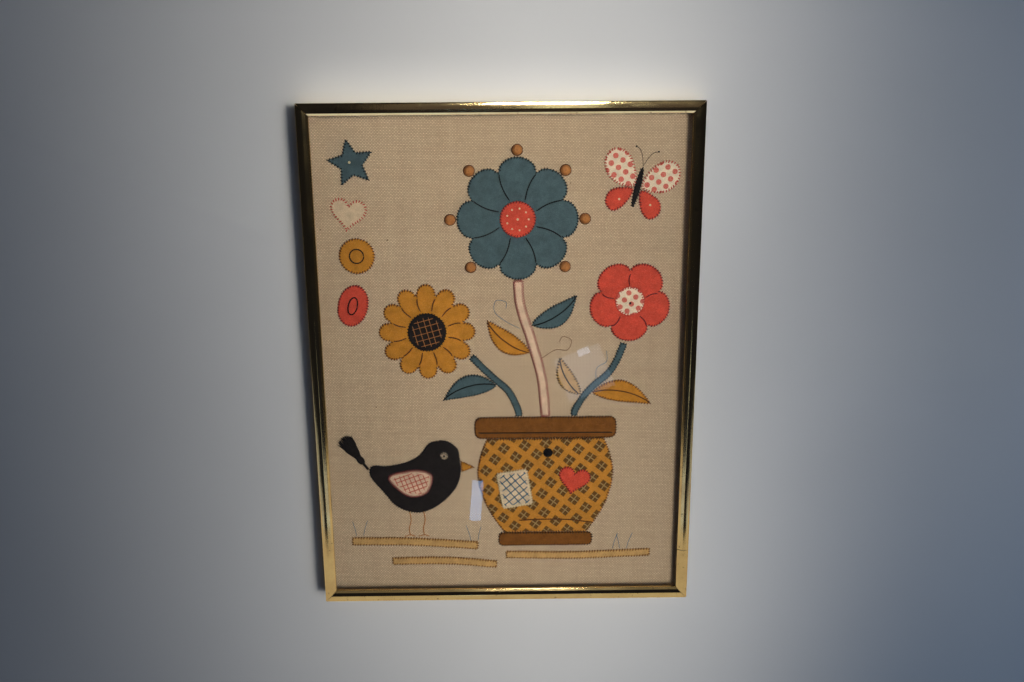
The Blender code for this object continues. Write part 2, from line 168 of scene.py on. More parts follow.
def outward(loop):
    """Unit normals out of an anticlockwise loop, and unit directions along it."""
    along = np.roll(loop, -1, axis=0) - np.roll(loop, 1, axis=0)
    along /= np.linalg.norm(along, axis=1)[:, None]
    return np.c_[along[:, 1], -along[:, 0]], along


def inside_loop(points, loop):
    """True for the points inside a closed loop, by counting the sides crossed."""
    result = np.zeros(len(points), bool)
    a, b = loop, np.roll(loop, -1, axis=0)
    for low in range(0, len(points), 3000):
        x = points[low : low + 3000, 0][:, None]
        y = points[low : low + 3000, 1][:, None]
        spans = (a[:, 1] > y) != (b[:, 1] > y)
        rise = np.where(b[:, 1] == a[:, 1], 1e-12, b[:, 1] - a[:, 1])
        crossing = a[:, 0] + (y - a[:, 1]) / rise * (b[:, 0] - a[:, 0])
        result[low : low + 3000] = (spans & (x < crossing)).sum(1) % 2 == 1
    return result


def distance_to(points, line, closed):
    """Distance from each point to a line made of straight runs."""
    a = line if closed else line[:-1]
    b = np.roll(line, -1, axis=0) if closed else line[1:]
    run = b - a
    square = np.maximum((run**2).sum(1), 1e-12)
    result = np.empty(len(points))
    for low in range(0, len(points), 2000):
        p = points[low : low + 2000][:, None, :]
        t = np.clip(((p - a) * run).sum(2) / square, 0, 1)
        gap = p - (a + t[..., None] * run)
        result[low : low + 2000] = np.sqrt((gap**2).sum(2).min(1))
    return result


def cad_outline(node):
    """The outline of a flat CAD piece's top face, anticlockwise, in millimetres."""
    mesh = frame["nodes"][node].data
    co = np.array([v.co for v in mesh.vertices]) / MM
    top = co[:, 2].max() - 0.01
    sides = set()
    for face in mesh.polygons:
        if face.normal.z > 0.9 and all(co[i, 2] > top for i in face.vertices):
            keys = [tuple(np.round(co[i, :2] * 1000).astype(int)) for i in face.vertices]
            sides.update(zip(keys, keys[1:] + keys[:1]))
    after = {a: b for a, b in sides if (b, a) not in sides}
    start = min(after)
    loop, here = [start], after[start]
    while here != start:
        loop.append(here)
        here = after[here]
    return np.array(loop, float) / 1000


# ---- Meshes


def new_object(name, mesh, material):
    mesh.materials.append(material)
    obj = bpy.data.objects.new(name, mesh)
    bpy.context.scene.collection.objects.link(obj)
    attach(obj, "root")
    return obj


def mesh_from(name, verts, faces):
    """A smooth mesh from points in millimetres and faces."""
    mesh = bpy.data.meshes.new(name)
    mesh.from_pydata((np.asarray(verts) * MM).tolist(), [], faces)
    mesh.update()
    mesh.validate()
    mesh.shade_smooth()
    return mesh


def quads(here, beside):
    """Faces between the rows of a grid of point numbers and the same grid moved one place on."""
    corners = (here[..., :-1, :], beside[..., :-1, :], beside[..., 1:, :], here[..., 1:, :])
    return np.stack(corners, axis=-1).reshape(-1, 4).tolist()


class Thread:
    """Many short tubes of one thread, gathered into one mesh."""

    def __init__(self, name, material, slot):
        self.name, self.material, self.slot = name, material, slot
        self.verts, self.faces, self.count = [], [], 0

    def add(self, paths, radius, sides=5, side=None, taper=0.55):
        """Tubes along paths of shape (tubes, points, 3). side fixes each tube's binormal."""
        paths = np.asarray(paths, float)
        n, k, _ = paths.shape
        along = np.gradient(paths, axis=1)
        along /= np.maximum(np.linalg.norm(along, axis=2), 1e-9)[..., None]
        if side is None:
            across = np.cross(along, [0, 0, 1.0])
            across += np.array([1e-6, 0, 0])
        else:
            across = np.broadcast_to(np.asarray(side, float)[:, None, :], paths.shape).copy()
        across /= np.maximum(np.linalg.norm(across, axis=2), 1e-9)[..., None]
        up = np.cross(across, along)
        radii = np.full(k, float(radius))
        radii[[0, -1]] *= taper
        angle = 2 * np.pi * (np.arange(sides) + 0.5) / sides
        ring = (
            np.cos(angle)[:, None] * across[:, :, None, :]
            + np.sin(angle)[:, None] * up[:, :, None, :]
        )
        points = paths[:, :, None, :] + radii[None, :, None, None] * ring
        index = self.count + np.arange(n * k * sides).reshape(n, k, sides)
        self.verts.append(points.reshape(-1, 3))
        self.faces += quads(index, np.roll(index, -1, axis=2))
        self.faces += index[:, 0, ::-1].tolist() + index[:, -1].tolist()
        self.count += n * k * sides

    def build(self):
        mesh = mesh_from(self.name, np.vstack(self.verts), self.faces)
        return new_object(self.name, mesh, self.material)


# Height of a felt's edge, how far in its roll and its crown go, and the dip along a sewn line
EDGE_HEIGHT, ROLL_REACH, CROWN_REACH, DIP_DEPTH, DIP_WIDTH = 0.36, 0.4, 5.0, 0.30, 0.75
RING_OFFSETS, CELL = (0.22, 0.55, 1.0, 1.6, 2.3), 1.15


class Felt:
    """One felt piece: its outline, its padded surface and its mesh."""

    def __init__(self, node, parent, rise, crown, dips):
        """dips are the sewn lines that draw its surface down."""
        self.node, self.parent, self.rise, self.crown, self.dips = node, parent, rise, crown, dips
        self.seed = sum(map(ord, node)) % 97
        soft = softened(resampled(cad_outline(node), 0.5), 1.3)
        x, y = soft[:, 0], soft[:, 1]
        wobble = smooth_noise(x, y, self.seed, 6.0) + 0.6 * smooth_noise(x, y, self.seed + 3, 2.2)
        shift = (0.14 * wobble - 0.05)[:, None]
        self.loop = resampled(soft + outward(soft)[0] * shift, 0.5)

    def base(self, p):
        """Height of what the piece lies on."""
        return self.parent.top(p) if self.parent else linen_height(p[:, 0], p[:, 1])

    def top(self, p):
        """Height of the piece's upper face over these points: a rolled edge and a soft crown."""
        d = distance_to(p, self.loop, True)
        x, y = p[:, 0], p[:, 1]
        height = EDGE_HEIGHT + self.rise * 0.5 * (1 - np.exp(-d / ROLL_REACH))
        height += self.crown * 0.8 * (1 - np.exp(-((d / CROWN_REACH) ** 1.3)))
        grain = 0.07 * smooth_noise(x, y, self.seed, 5.0)
        grain += 0.035 * smooth_noise(x, y, self.seed + 1, 1.7)
        height += grain * np.clip(d / 1.5, 0, 1)
        for line in self.dips:
            height -= DIP_DEPTH * np.exp(-((distance_to(p, line, False) / DIP_WIDTH) ** 2))
        return self.base(p) + height

    def surface(self, p):
        """Height of whatever is uppermost at these points: the piece, or what it lies on."""
        return np.where(inside_loop(p, self.loop), self.top(p), self.base(p))

    def inner_points(self, out):
        """Points inside the outline: rings along its edge, then an even grid."""
        parts = []
        for offset in RING_OFFSETS:
            ring = self.loop - out * offset
            if offset > 0.8:
                ring = ring[::2]
            keep = inside_loop(ring, self.loop)
            keep &= distance_to(ring, self.loop, True) > 0.93 * offset
            parts.append(ring[keep])
        low, high = self.loop.min(0), self.loop.max(0)
        rows = []
        for i, y in enumerate(np.arange(low[1], high[1], CELL * 0.866)):
            x = np.arange(low[0] + (i % 2) * CELL / 2, high[0], CELL)
            rows.append(np.c_[x, np.full(len(x), y)])
        grid = np.vstack(rows)
        grid = grid[inside_loop(grid, self.loop)]
        clear = distance_to(grid, self.loop, True) > RING_OFFSETS[-1] + 0.6 * CELL
        return np.vstack([*parts, grid[clear]])

    def build(self, material, slot):
        out, _ = outward(self.loop)
        n = len(self.loop)
        edges = [(i, (i + 1) % n) for i in range(n)]

        def filled(points):
            found = geometry.delaunay_2d_cdt([Vector(p) for p in points], edges, [], 1, 1e-5)
            return np.array([tuple(v) for v in found[0]]), found[2], found[3]

        flat, faces, origin = filled(np.vstack([self.loop, self.inner_points(out)]))
        place = {o: i for i, olds in enumerate(origin) for o in olds}
        rim = [place[i] for i in range(n)]
        base = self.base(self.loop) - 0.04
        tucked = self.loop - 0.12 * out
        count = len(flat)
        upper, lower = np.c_[flat, self.top(flat)], np.c_[self.loop, base]
        verts = np.vstack([upper, lower, np.c_[tucked, base]])
        faces = [list(f) for f in faces]
        for i, j in edges:
            faces.append([rim[j], rim[i], count + i, count + j])
            faces.append([count + j, count + i, count + n + i, count + n + j])
        _, under, origin = filled(tucked)
        back = {new: count + n + olds[0] for new, olds in enumerate(origin) if olds}
        faces += [[back[i] for i in reversed(f)] for f in under if all(i in back for i in f)]
        mesh = mesh_from(self.node + "_cloth", verts, faces)
        self.obj = new_object(self.node + "_cloth", mesh, material)
        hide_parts(self.node)

    def flat_size(self):
        """Width and length of the smallest rectangle round the cut, and its area, in metres."""
        best = None
        for degrees in range(0, 90, 3):
            (c, s), _ = heading(degrees)
            turned = self.loop @ np.array([[c, -s], [s, c]])
            size = turned.max(0) - turned.min(0)
            if best is None or size.prod() < best.prod():
                best = size
        x, y = self.loop[:, 0], self.loop[:, 1]
        area = abs((x * np.roll(y, -1) - y * np.roll(x, -1)).sum()) / 2
        return tuple(sorted(best * MM)), area * MM * MM


# ---- Sewing

RNG = random.Random(20)


def draws(count, low, high):
    """A column of random numbers."""
    return np.array([RNG.uniform(low, high) for _ in range(count)])[:, None]


def edge_stitches(felt, thread, pitch=2.35, outer=0.7, inner=1.3, radius=0.46, slant=0.35):
    """Whip stitches over a piece's edge."""
    loop = resampled(felt.loop, pitch)
    out, along = outward(loop)
    n = len(loop)
    at = loop + along * draws(n, -0.25, 0.25)
    reach = draws(n, 0.8, 1.25)
    lean = draws(n, 0.6, 1.4) * slant
    outer_slope, crest = outer * 0.55, 0.05
    stations = [outer, outer_slope, crest, -inner * 0.35, -inner * 0.8, -inner]
    paths = []
    for station, lift in zip(stations, [-0.2, 0.12, 0.16, 0.12, 0.02, -0.36]):
        p = at + out * (station * reach) - along * lean * (station / inner)
        z = felt.surface(p)
        if station == crest:
            z = felt.top(at - out * 0.1) - 0.05
        if station == outer_slope:
            z = (felt.base(p) + felt.top(at)) / 2
        paths.append(np.c_[p, z + lift])
    thread.add(np.stack(paths, axis=1), radius, side=np.c_[along, np.zeros(n)])


def satin_edge(felt, thread, pitch=1.4, outer=0.8, inner=1.35, radius=0.4, slant=1.0):
    """Close, raised satin stitches that cover a piece's edge."""
    at = resampled(felt.loop, pitch)
    out, along = outward(at)
    n = len(at)
    reach = draws(n, 0.86, 1.12)
    outer_slope = 0.62
    paths = []
    for share, lift in ((1, -0.1), (outer_slope, 0.5), (0.0, 0.42), (-0.6, 0.34), (-1, -0.15)):
        across = (outer if share > 0 else inner) * share * reach
        p = at + out * across - along * slant * share
        z = felt.surface(p) + lift
        if share == 0:
            z = felt.top(at - out * 0.15) + lift
        if share == outer_slope:
            z = (felt.base(p) + felt.top(at)) / 2 + lift * 0.5
        paths.append(np.c_[p, z])
    thread.add(np.stack(paths, axis=1), radius, side=np.c_[along, np.zeros(n)], taper=0.7)


def lay(rows, height, thread, radius, lifts):
    """Short threads on a surface. lifts is how high each point is over it, in radii."""
    flat = np.array(rows)
    z = height(flat.reshape(-1, 2)).reshape(flat.shape[:2])
    thread.add(np.concatenate([flat, (z + radius * np.array(lifts))[..., None]], axis=2), radius)


def outline_stitch(line, height, thread, radius=0.46, length=3.6, step=1.9, offset=0.26):
    """A rope-like line of overlapping slanted stitches. height gives the surface under points."""
    fine = resampled_line(line, 0.25)
    run = np.arange(len(fine)) * 0.25
    total = run[-1]
    along = np.gradient(fine, axis=0)
    along /= np.linalg.norm(along, axis=1)[:, None]
    left = np.c_[-along[:, 1], along[:, 0]]
    rows = []
    for start in np.arange(0, max(total - length * 0.6, 0.1), step):
        end = min(start + length * RNG.uniform(0.92, 1.08), total)
        at = np.linspace(start, end, 6)
        shift = np.linspace(offset, -offset, 6)[:, None]
        rows.append(placed(at, run, fine) + shift * placed(at, run, left))
    lay(rows, height, thread, radius, [-0.6, 0.75, 1.1, 1.1, 0.75, -0.6])


def running_stitch(line, height, thread, radius=0.2, length=2.4, gap=1.3):
    """A line of short stitches with gaps between them."""
    fine = resampled_line(line, 0.25)
    run = np.arange(len(fine)) * 0.25
    rows = []
    start = 0.0
    while start + length < run[-1] + 0.01:
        at = np.linspace(start, start + length * RNG.uniform(0.9, 1.1), 5)
        rows.append(placed(at, run, fine))
        start += length + gap
    lay(rows, height, thread, radius, [-1.0, 0.7, 1.0, 0.7, -1.0])


def laid_thread(a, b, height, thread, radius):
    """One long straight stitch that lies on the surface from a to b."""
    steps = max(4, round(math.dist(a, b) / 1.6))
    lifts = [-1.2, *[0.95] * (steps - 1), -1.2]
    lay([np.linspace(a, b, steps + 1)], height, thread, radius, lifts)


def crosshatch(felt, thread, pitch, turn, margin, radius):
    """Two crossing sets of laid threads inside a piece."""
    middle = felt.loop.mean(0)
    reach = np.linalg.norm(felt.loop - middle, axis=1).max()
    for quarter in (0, 90):
        d, n = heading(turn + quarter)
        for k in range(-int(reach / pitch), int(reach / pitch) + 1):
            t = np.arange(-reach, reach, 0.4)
            line = middle + n * (k * pitch + RNG.uniform(-0.4, 0.4)) + t[:, None] * d
            keep = inside_loop(line, felt.loop)
            keep[keep] &= distance_to(line[keep], felt.loop, True) > margin
            if keep.sum() > 5:
                found = line[keep]
                laid_thread(found[0], found[-1], felt.top, thread, radius)


KNOT_SIZE, KNOT_RADIUS, KNOT_TURNS = 0.95, 0.34, 2.2


def french_knots(places, height, thread, size=KNOT_SIZE):
    """Knots of thread wound on themselves."""
    t = np.linspace(0, 1, 20)
    for place in places:
        angle = RNG.uniform(0, 2 * math.pi) + t * KNOT_TURNS * 2 * math.pi
        reach = size * (0.62 - 0.42 * t)
        x, y = place[0] + reach * np.cos(angle), place[1] + reach * np.sin(angle)
        z = height(np.array([place], float))[0] + KNOT_RADIUS * 0.3 + 0.2 * size * t
        thread.add(np.c_[x, y, z][None], KNOT_RADIUS * size / KNOT_SIZE, sides=6)


def ring(middle, half_width, half_height, turn=0):
    """A closed oval line."""
    a = np.linspace(0, 2 * np.pi, 80)
    (c, s), _ = heading(turn)
    x, y = half_width * np.cos(a), half_height * np.sin(a)
    return np.c_[middle[0] + c * x - s * y, middle[1] + s * x + c * y]


# ---- Materials


class Tree:
    """A short way to write a node material."""

    def __init__(self, name):
        self.material = bpy.data.materials.new(name)
        self.material.use_nodes = True
        self.nodes, self.links = self.material.node_tree.nodes, self.material.node_tree.links
        self.shader = self.nodes["Principled BSDF"]
        self.place = self.node("TexCoord").outputs["Object"]

    def put(self, socket, value):
        if isinstance(value, bpy.types.NodeSocket):
            self.links.new(value, socket)
        else:
            socket.default_value = (*value, 1) if socket.type == "RGBA" else value

    def node(self, kind, inputs=(), **settings):
        """A new node with these settings, and with values or links put into its inputs."""
        node = self.nodes.new("ShaderNode" + kind)
        for name, value in settings.items():
            setattr(node, name, value)
        for key, value in dict(inputs).items():
            self.put(node.inputs[key], value)
        return node

    def math(self, operation, *values, clamp=False):
        node = self.node("Math", enumerate(values), operation=operation, use_clamp=clamp)
        return node.outputs[0]

    def times(self, a, b, clamp=False):
        return self.math("MULTIPLY", a, b, clamp=clamp)

    def plus(self, a, b, clamp=False):
        return self.math("ADD", a, b, clamp=clamp)

    def noise(self, scale, detail=2.0, rough=0.5, stretch=(1, 1, 1), seed=0.0):
        """Noise from 0 to 1. scale is cycles per metre."""
        away = (seed, seed * 0.7, seed * 0.3)
        at = self.node("Mapping", {"Vector": self.place, "Scale": stretch, "Location": away})
        values = {"Vector": at.outputs[0], "Scale": scale, "Detail": detail, "Roughness": rough}
        return self.node("TexNoise", values).outputs["Fac"]

    def streaks(self, scale, detail, rough, thin, seed):
        """Two noises, one drawn out along Y and one along X."""
        up = self.noise(scale, detail, rough, (1, thin, 1), seed)
        return up, self.noise(scale, detail, rough, (thin, 1, 1), seed + 1)

    def split(self, vector):
        """X and Y of a place."""
        return self.node("SeparateXYZ", {0: vector}).outputs[:2]

    def turned(self, vector, degrees):
        """X and Y of a place turned round Z."""
        rotation = (0, 0, math.radians(degrees))
        return self.split(self.node("Mapping", {0: vector, "Rotation": rotation}).outputs[0])

    def within(self, value, pitch):
        """Place within a repeat of this pitch, from -0.5 to 0.5."""
        return self.math("SUBTRACT", self.math("FRACT", self.math("DIVIDE", value, pitch)), 0.5)

    def spread(self, value, low, high, to_low=0.0, to_high=1.0):
        """The value's run from low to high, changed to run from to_low to to_high."""
        return self.node("MapRange", enumerate((value, low, high, to_low, to_high))).outputs[0]

    def mix(self, share, a, b):
        """Two colours mixed. The node's inputs 6 and 7 and its output 2 are the colours."""
        return self.node("Mix", {0: share, 6: a, 7: b}, data_type="RGBA").outputs[2]

    def over(self, under, value, low, high, share, colour):
        """Up to this share of a colour laid over another, as the value goes from low to high."""
        return self.mix(self.spread(value, low, high, 0, share), under, colour)

    def mottled(self, colour, value, low, high, dark, pale):
        """A colour that goes from its dark to its pale tone as the value goes from low to high."""
        return self.mix(self.spread(value, low, high), scaled(colour, dark), scaled(colour, pale))

    def bump(self, height, distance, strength):
        node = self.node("Bump", {"Height": height, "Distance": distance, "Strength": strength})
        self.put(self.shader.inputs["Normal"], node.outputs[0])

    def look(self, colour, roughness, **values):
        """Sets the shader's inputs, and gives the finished material."""
        for name, value in {"Base_Color": colour, "Roughness": roughness, **values}.items():
            self.put(self.shader.inputs[name.replace("_", " ")], value)
        return self.material

    def cloth(self, colour, roughness, sheen, sheen_roughness, shine, **values):
        values |= {"Sheen_Weight": sheen, "Sheen_Roughness": sheen_roughness}
        return self.look(colour, roughness, Specular_IOR_Level=shine, **values)


def scaled(colour, factor):
    return tuple(min(1.0, c * factor) for c in colour)


def linear(red, green, blue):
    """A screen colour from 0 to 255 as linear light."""
    return tuple(
        (c / 255 / 12.92) if c <= 10 else ((c / 255 + 0.055) / 1.055) ** 2.4
        for c in (red, green, blue)
    )


def felted_colour(tree, colour, seed):
    """Felt's colour: soft mottling, and lighter and darker fibres."""
    mottled = tree.mottled(colour, tree.noise(150, 3, 0.6, seed=seed), 0.3, 0.7, 0.80, 1.18)
    greyer = tuple(0.82 * c + 0.18 * sum(colour) / 3 for c in colour)
    pale_fibres = tree.noise(1250, 4, 0.75, (1, 1.6, 1), seed + 1)
    dark_fibres = tree.noise(1700, 3, 0.7, (1.7, 1, 1), seed + 2)
    lit = tree.over(mottled, pale_fibres, 0.5, 0.68, 0.55, scaled(greyer, 1.65))
    return tree.over(lit, dark_fibres, 0.48, 0.66, 0.5, scaled(colour, 0.48))


def felt_material(name, colour, seed):
    tree = Tree(name)
    fuzz = tree.noise(1300, 5, 0.7, seed=seed + 5)
    tree.bump(tree.plus(fuzz, tree.noise(340, 3, 0.6, seed=seed + 6)), 0.00035, 0.75)
    felted = felted_colour(tree, colour, seed)
    return tree.cloth(felted, 0.95, 0.25, 0.55, 0.15, Sheen_Tint=scaled(colour, 1.5))


COTTON_PITCH, CHECK_PITCH, DOT_PITCH = 0.42 * MM, 12.5 * MM, 6.6 * MM


def printed_cotton(tree, colour, seed):
    """The weave and the finish of fine plain cotton, with a printed colour."""
    rate = math.pi / COTTON_PITCH
    across, up = (tree.math("SINE", tree.times(v, rate)) for v in tree.split(tree.place))
    weave = tree.times(tree.times(across, up), 0.3)
    tree.bump(tree.plus(weave, tree.noise(900, 4, 0.7, seed=seed + 5)), 0.00025, 0.7)
    return tree.cloth(colour, 0.92, 0.2, 0.5, 0.2)


def plaid_material(name, ground, dark, line, seed):
    """Mustard cotton with a printed check: dark squares, each split by two fine lines."""
    tree = Tree(name)
    colours = tree.node("TexNoise", {"Vector": tree.place, "Scale": 90}).outputs["Color"]
    terms = enumerate((colours, (0.0012, 0.0012, 0), tree.place))
    warped = tree.node("VectorMath", terms, operation="MULTIPLY_ADD").outputs[0]
    x, y = (tree.math("ABSOLUTE", tree.within(v, CHECK_PITCH)) for v in tree.turned(warped, 38))
    square = tree.times(tree.spread(x, 0.30, 0.33, 1, 0), tree.spread(y, 0.30, 0.33, 1, 0))
    fine = tree.math(
        "MAXIMUM", tree.spread(x, 0.028, 0.045, 1, 0), tree.spread(y, 0.028, 0.045, 1, 0)
    )
    worn = tree.spread(tree.noise(900, 4, 0.7, seed=seed + 9), 0.38, 0.62, 0.72, 1.0)
    printed = tree.mix(tree.times(square, worn), felted_colour(tree, ground, seed), dark)
    lined = tree.mix(tree.times(tree.times(fine, square), 0.62), printed, line)
    return printed_cotton(tree, lined, seed)


def dotted_material(name, ground, dot, seed):
    """Cream cotton with printed round dots in rows."""
    tree = Tree(name)
    u, v = (tree.within(w, DOT_PITCH) for w in tree.turned(tree.place, 31))
    away = tree.math("SQRT", tree.plus(tree.times(u, u), tree.times(v, v)))
    uneven = tree.plus(away, tree.times(tree.noise(700, 3, 0.6, seed=seed), 0.09))
    inside = tree.spread(uneven, 0.355, 0.385, 1, 0)
    worn = tree.spread(tree.noise(1100, 3, 0.7, seed=seed + 2), 0.36, 0.6, 0.72, 1)
    colour = tree.mix(tree.times(inside, worn), felted_colour(tree, ground, seed), dot)
    return printed_cotton(tree, colour, seed)


def thread_material(name, colour, shine, seed):
    tree = Tree(name)
    shade = tree.noise(1900, 3, 0.6, (1, 2.5, 1), seed)
    mixed = tree.mottled(colour, shade, 0.35, 0.65, 0.62, 1.3)
    slow = tree.noise(60, 2, 0.5, seed=seed + 1)
    mixed = tree.over(mixed, slow, 0.35, 0.65, 0.35, scaled(colour, 0.75))
    tree.bump(tree.noise(2600, 3, 0.6, (1, 2, 1), seed + 2), 0.0002, 0.7)
    return tree.cloth(mixed, 0.65, 0.1, 0.4, shine)


LINEN_PITCH, LINEN_DRIFT = 1.18 * MM, 0.9 * MM


def linen_material():
    """Plain evenweave with uneven threads, flecks and a few brown specks."""
    tree = Tree("linen")
    x, y = tree.split(tree.place)
    # Each thread wanders a little along its length
    u, v = (
        tree.math("DIVIDE", tree.plus(value, tree.times(drift, LINEN_DRIFT)), LINEN_PITCH)
        for value, drift in zip((x, y), tree.streaks(30, 2, 0.5, 0.35, 3))
    )
    su, sv = (tree.math("SINE", tree.times(w, math.pi)) for w in (u, v))
    over = tree.times(tree.times(su, sv), 0.75)
    warp = tree.times(tree.math("ABSOLUTE", su), tree.plus(over, 0.5), clamp=True)
    weft = tree.times(tree.math("ABSOLUTE", sv), tree.math("SUBTRACT", 0.5, over), clamp=True)
    weave = tree.math("MAXIMUM", warp, weft)
    # Slubs: threads that are paler, darker or thicker for a stretch
    slub_up, slub_across = tree.streaks(1150, 2, 0.6, 0.025, 6)
    is_warp = tree.spread(tree.math("SUBTRACT", warp, weft), -0.05, 0.05)
    is_weft = tree.math("SUBTRACT", 1.0, is_warp)
    slub = tree.plus(tree.times(slub_up, is_warp), tree.times(slub_across, is_weft))
    ground = linear(242, 206, 173)
    shaded = tree.mottled(ground, slub, 0.3, 0.7, 0.8, 1.2)
    # Each crossing has a tone of its own, and the warp is darker than the weft
    cell = tree.node("CombineXYZ", enumerate((tree.math("FLOOR", u), tree.math("FLOOR", v))))
    chance = tree.node("TexWhiteNoise", {"Vector": cell.outputs[0]}).outputs["Value"]
    shaded = tree.over(shaded, chance, 0.1, 0.9, 0.45, scaled(ground, 0.55))
    shaded = tree.mix(tree.times(is_warp, 0.66), shaded, scaled(ground, 0.45))
    # Painted shade: the gaps between the threads are darkened
    shaded = tree.mix(tree.spread(weave, 0.15, 0.75, 0.85, 0), shaded, scaled(ground, 0.34))
    fibres = tree.noise(2600, 3, 0.7, seed=8)
    shaded = tree.over(shaded, fibres, 0.5, 0.75, 0.3, scaled(ground, 1.3))
    aged = tree.noise(9, 3, 0.55, seed=9)
    shaded = tree.over(shaded, aged, 0.42, 0.72, 0.12, linear(168, 140, 104))
    # Long streaks of uneven yarn along and across the cloth
    streak = tree.plus(*tree.streaks(120, 3, 0.6, 0.03, 10))
    shaded = tree.over(shaded, streak, 0.8, 1.2, 0.08, scaled(ground, 1.3))
    # Painted shade: the cloth is darkened towards its right side, standing in for light that falls
    # off there
    shaded = tree.over(shaded, x, -0.14, 0.15, 0.3, scaled(ground, 0.42))
    # Slub flecks and small brown specks
    away = tree.node("TexVoronoi", {"Vector": tree.place, "Scale": 75}).outputs["Distance"]
    near_fleck = tree.spread(away, 0.035, 0.065, 1, 0)
    speck = tree.times(near_fleck, tree.spread(tree.noise(38, 1, seed=12), 0.56, 0.6))
    shaded = tree.mix(tree.times(speck, 0.75), shaded, linear(92, 62, 36))
    tree.bump(tree.plus(weave, tree.times(slub, 0.6)), 0.00032, 0.85)
    return tree.cloth(shaded, 0.9, 0.15, 0.5, 0.2)


NICK_Y = -0.1620


def gold_material():
    """Polished gold anodised metal with hairline scratches, dull spots and a worn nick."""
    tree = Tree("gold_metal")
    haze = tree.noise(28, 4, 0.65, seed=1)
    lines = tree.math("MAXIMUM", *tree.streaks(420, 3, 0.8, 0.06, 2))
    spots = tree.noise(260, 2, 0.5, seed=4)
    colour = tree.over(linear(221, 192, 131), haze, 0.42, 0.7, 0.5, linear(189, 151, 97))
    colour = tree.over(colour, spots, 0.66, 0.74, 0.55, linear(120, 92, 52))
    x, y = tree.split(tree.place)
    from_nick = tree.math("ABSOLUTE", tree.plus(y, -NICK_Y))
    over_face = tree.times(tree.spread(x, 0.1465, 0.1545, 0.9, 0.15), tree.spread(x, 0.1, 0.11))
    nick = tree.times(tree.spread(from_nick, 0.0002, 0.00045, 1, 0), over_face)
    colour = tree.mix(tree.times(nick, 0.8), colour, linear(70, 52, 30))
    rough = tree.plus(
        tree.spread(haze, 0.35, 0.75, 0.10, 0.20), tree.spread(lines, 0.6, 0.8, 0, 0.14)
    )
    rough = tree.plus(rough, tree.times(nick, 0.3), clamp=True)
    grain = tree.noise(2300, 3, 0.7, (0.45, 1, 1), 5)
    relief = tree.plus(lines, tree.times(nick, -3.0))
    tree.bump(tree.plus(relief, tree.times(grain, 0.5)), 0.00004, 0.6)
    return tree.look(colour, rough, Metallic=1.0)


def glass_material():
    """Clear glass: what is behind it, and a reflection that grows towards a grazing view."""
    tree = Tree("clear_glass")
    tree.nodes.remove(tree.shader)
    clear = tree.node("BsdfTransparent", {"Color": (0.975, 0.985, 0.975)})
    smudge = tree.spread(tree.noise(14, 4, 0.6, seed=2), 0.5, 0.8, 0.015, 0.09)
    gloss = tree.node("BsdfGlossy", {"Color": (1, 1, 1), "Roughness": smudge})
    once = tree.node("Fresnel", {"IOR": 1.46}).outputs[0]
    # The front face carries the reflection of both faces, and the far face lets all light out
    both = tree.math("DIVIDE", tree.times(once, 2.0), tree.plus(once, 1.0))
    facing = tree.math("SUBTRACT", 1.0, tree.node("NewGeometry").outputs["Backfacing"])
    parts = (tree.times(both, facing), clear.outputs[0], gloss.outputs[0])
    mixed = tree.node("MixShader", enumerate(parts))
    tree.put(tree.nodes["Material Output"].inputs["Surface"], mixed.outputs[0])
    return tree.material


def board_material():
    """Plain brown hardboard with pressed fibres."""
    tree = Tree("fibreboard")
    fibres = tree.noise(300, 5, 0.75, (1, 0.5, 1), 1)
    base = linear(122, 92, 62)
    colour = tree.mottled(base, fibres, 0.35, 0.65, 0.7, 1.2)
    colour = tree.over(colour, tree.noise(12, 3, seed=2), 0.4, 0.7, 0.3, scaled(base, 0.6))
    tree.bump(fibres, 0.0002, 0.6)
    return tree.look(colour, 0.85)


FELT_COLOURS = (
    ("mustard", (190, 126, 42), 3),
    ("brown", (121, 74, 30), 5),
    ("tan", (194, 151, 96), 7),
    ("teal", (75, 93, 99), 9),
    ("coral", (206, 75, 56), 11),
    ("cream", (213, 186, 156), 13),
    ("pink", (200, 143, 124), 15),
    ("blush", (218, 184, 158), 16),
    ("black", (36, 31, 30), 17),
    ("orange", (208, 122, 54), 19),
)
MATERIALS = {
    f"{name}_felt": felt_material(f"{name}_felt", linear(*colour), seed)
    for name, colour, seed in FELT_COLOURS
}
MATERIALS |= {
    "plaid_felt": plaid_material(
        "plaid_felt", linear(190, 126, 42), linear(74, 50, 24), linear(176, 150, 104), 21
    ),
    "dotted_felt": dotted_material("dotted_felt", linear(230, 206, 180), linear(206, 84, 74), 23),
    "linen": linen_material(),
    "gold_metal": gold_material(),
    "clear_glass": glass_material(),
    "fibreboard": board_material(),
}

THREAD_COLOURS = (
    ("black", (15, 14, 18), 0.15, "black"),
    ("rust", (102, 56, 22), 0.25, "mustard"),
    ("brown", (48, 28, 14), 0.25, "brown"),
    ("tan", (134, 86, 38), 0.3, "tan"),
    ("coral", (196, 62, 50), 0.35, "coral"),
    ("crimson", (120, 26, 28), 0.3, "coral"),
    ("rose", (154, 70, 68), 0.35, "pink"),
    ("teal", (40, 100, 132), 0.3, "teal"),
    ("cream", (224, 204, 164), 0.35, "cream"),
    ("orange", (188, 122, 64), 0.3, "orange"),
)
THREADS = {}
for seed, (name, colour, shine, felt) in enumerate(THREAD_COLOURS, start=31):
    material = thread_material("thread_" + name, linear(*colour), shine, seed)
    THREADS[name] = Thread("thread_" + name, material, felt + "_felt")

# ---- The frame


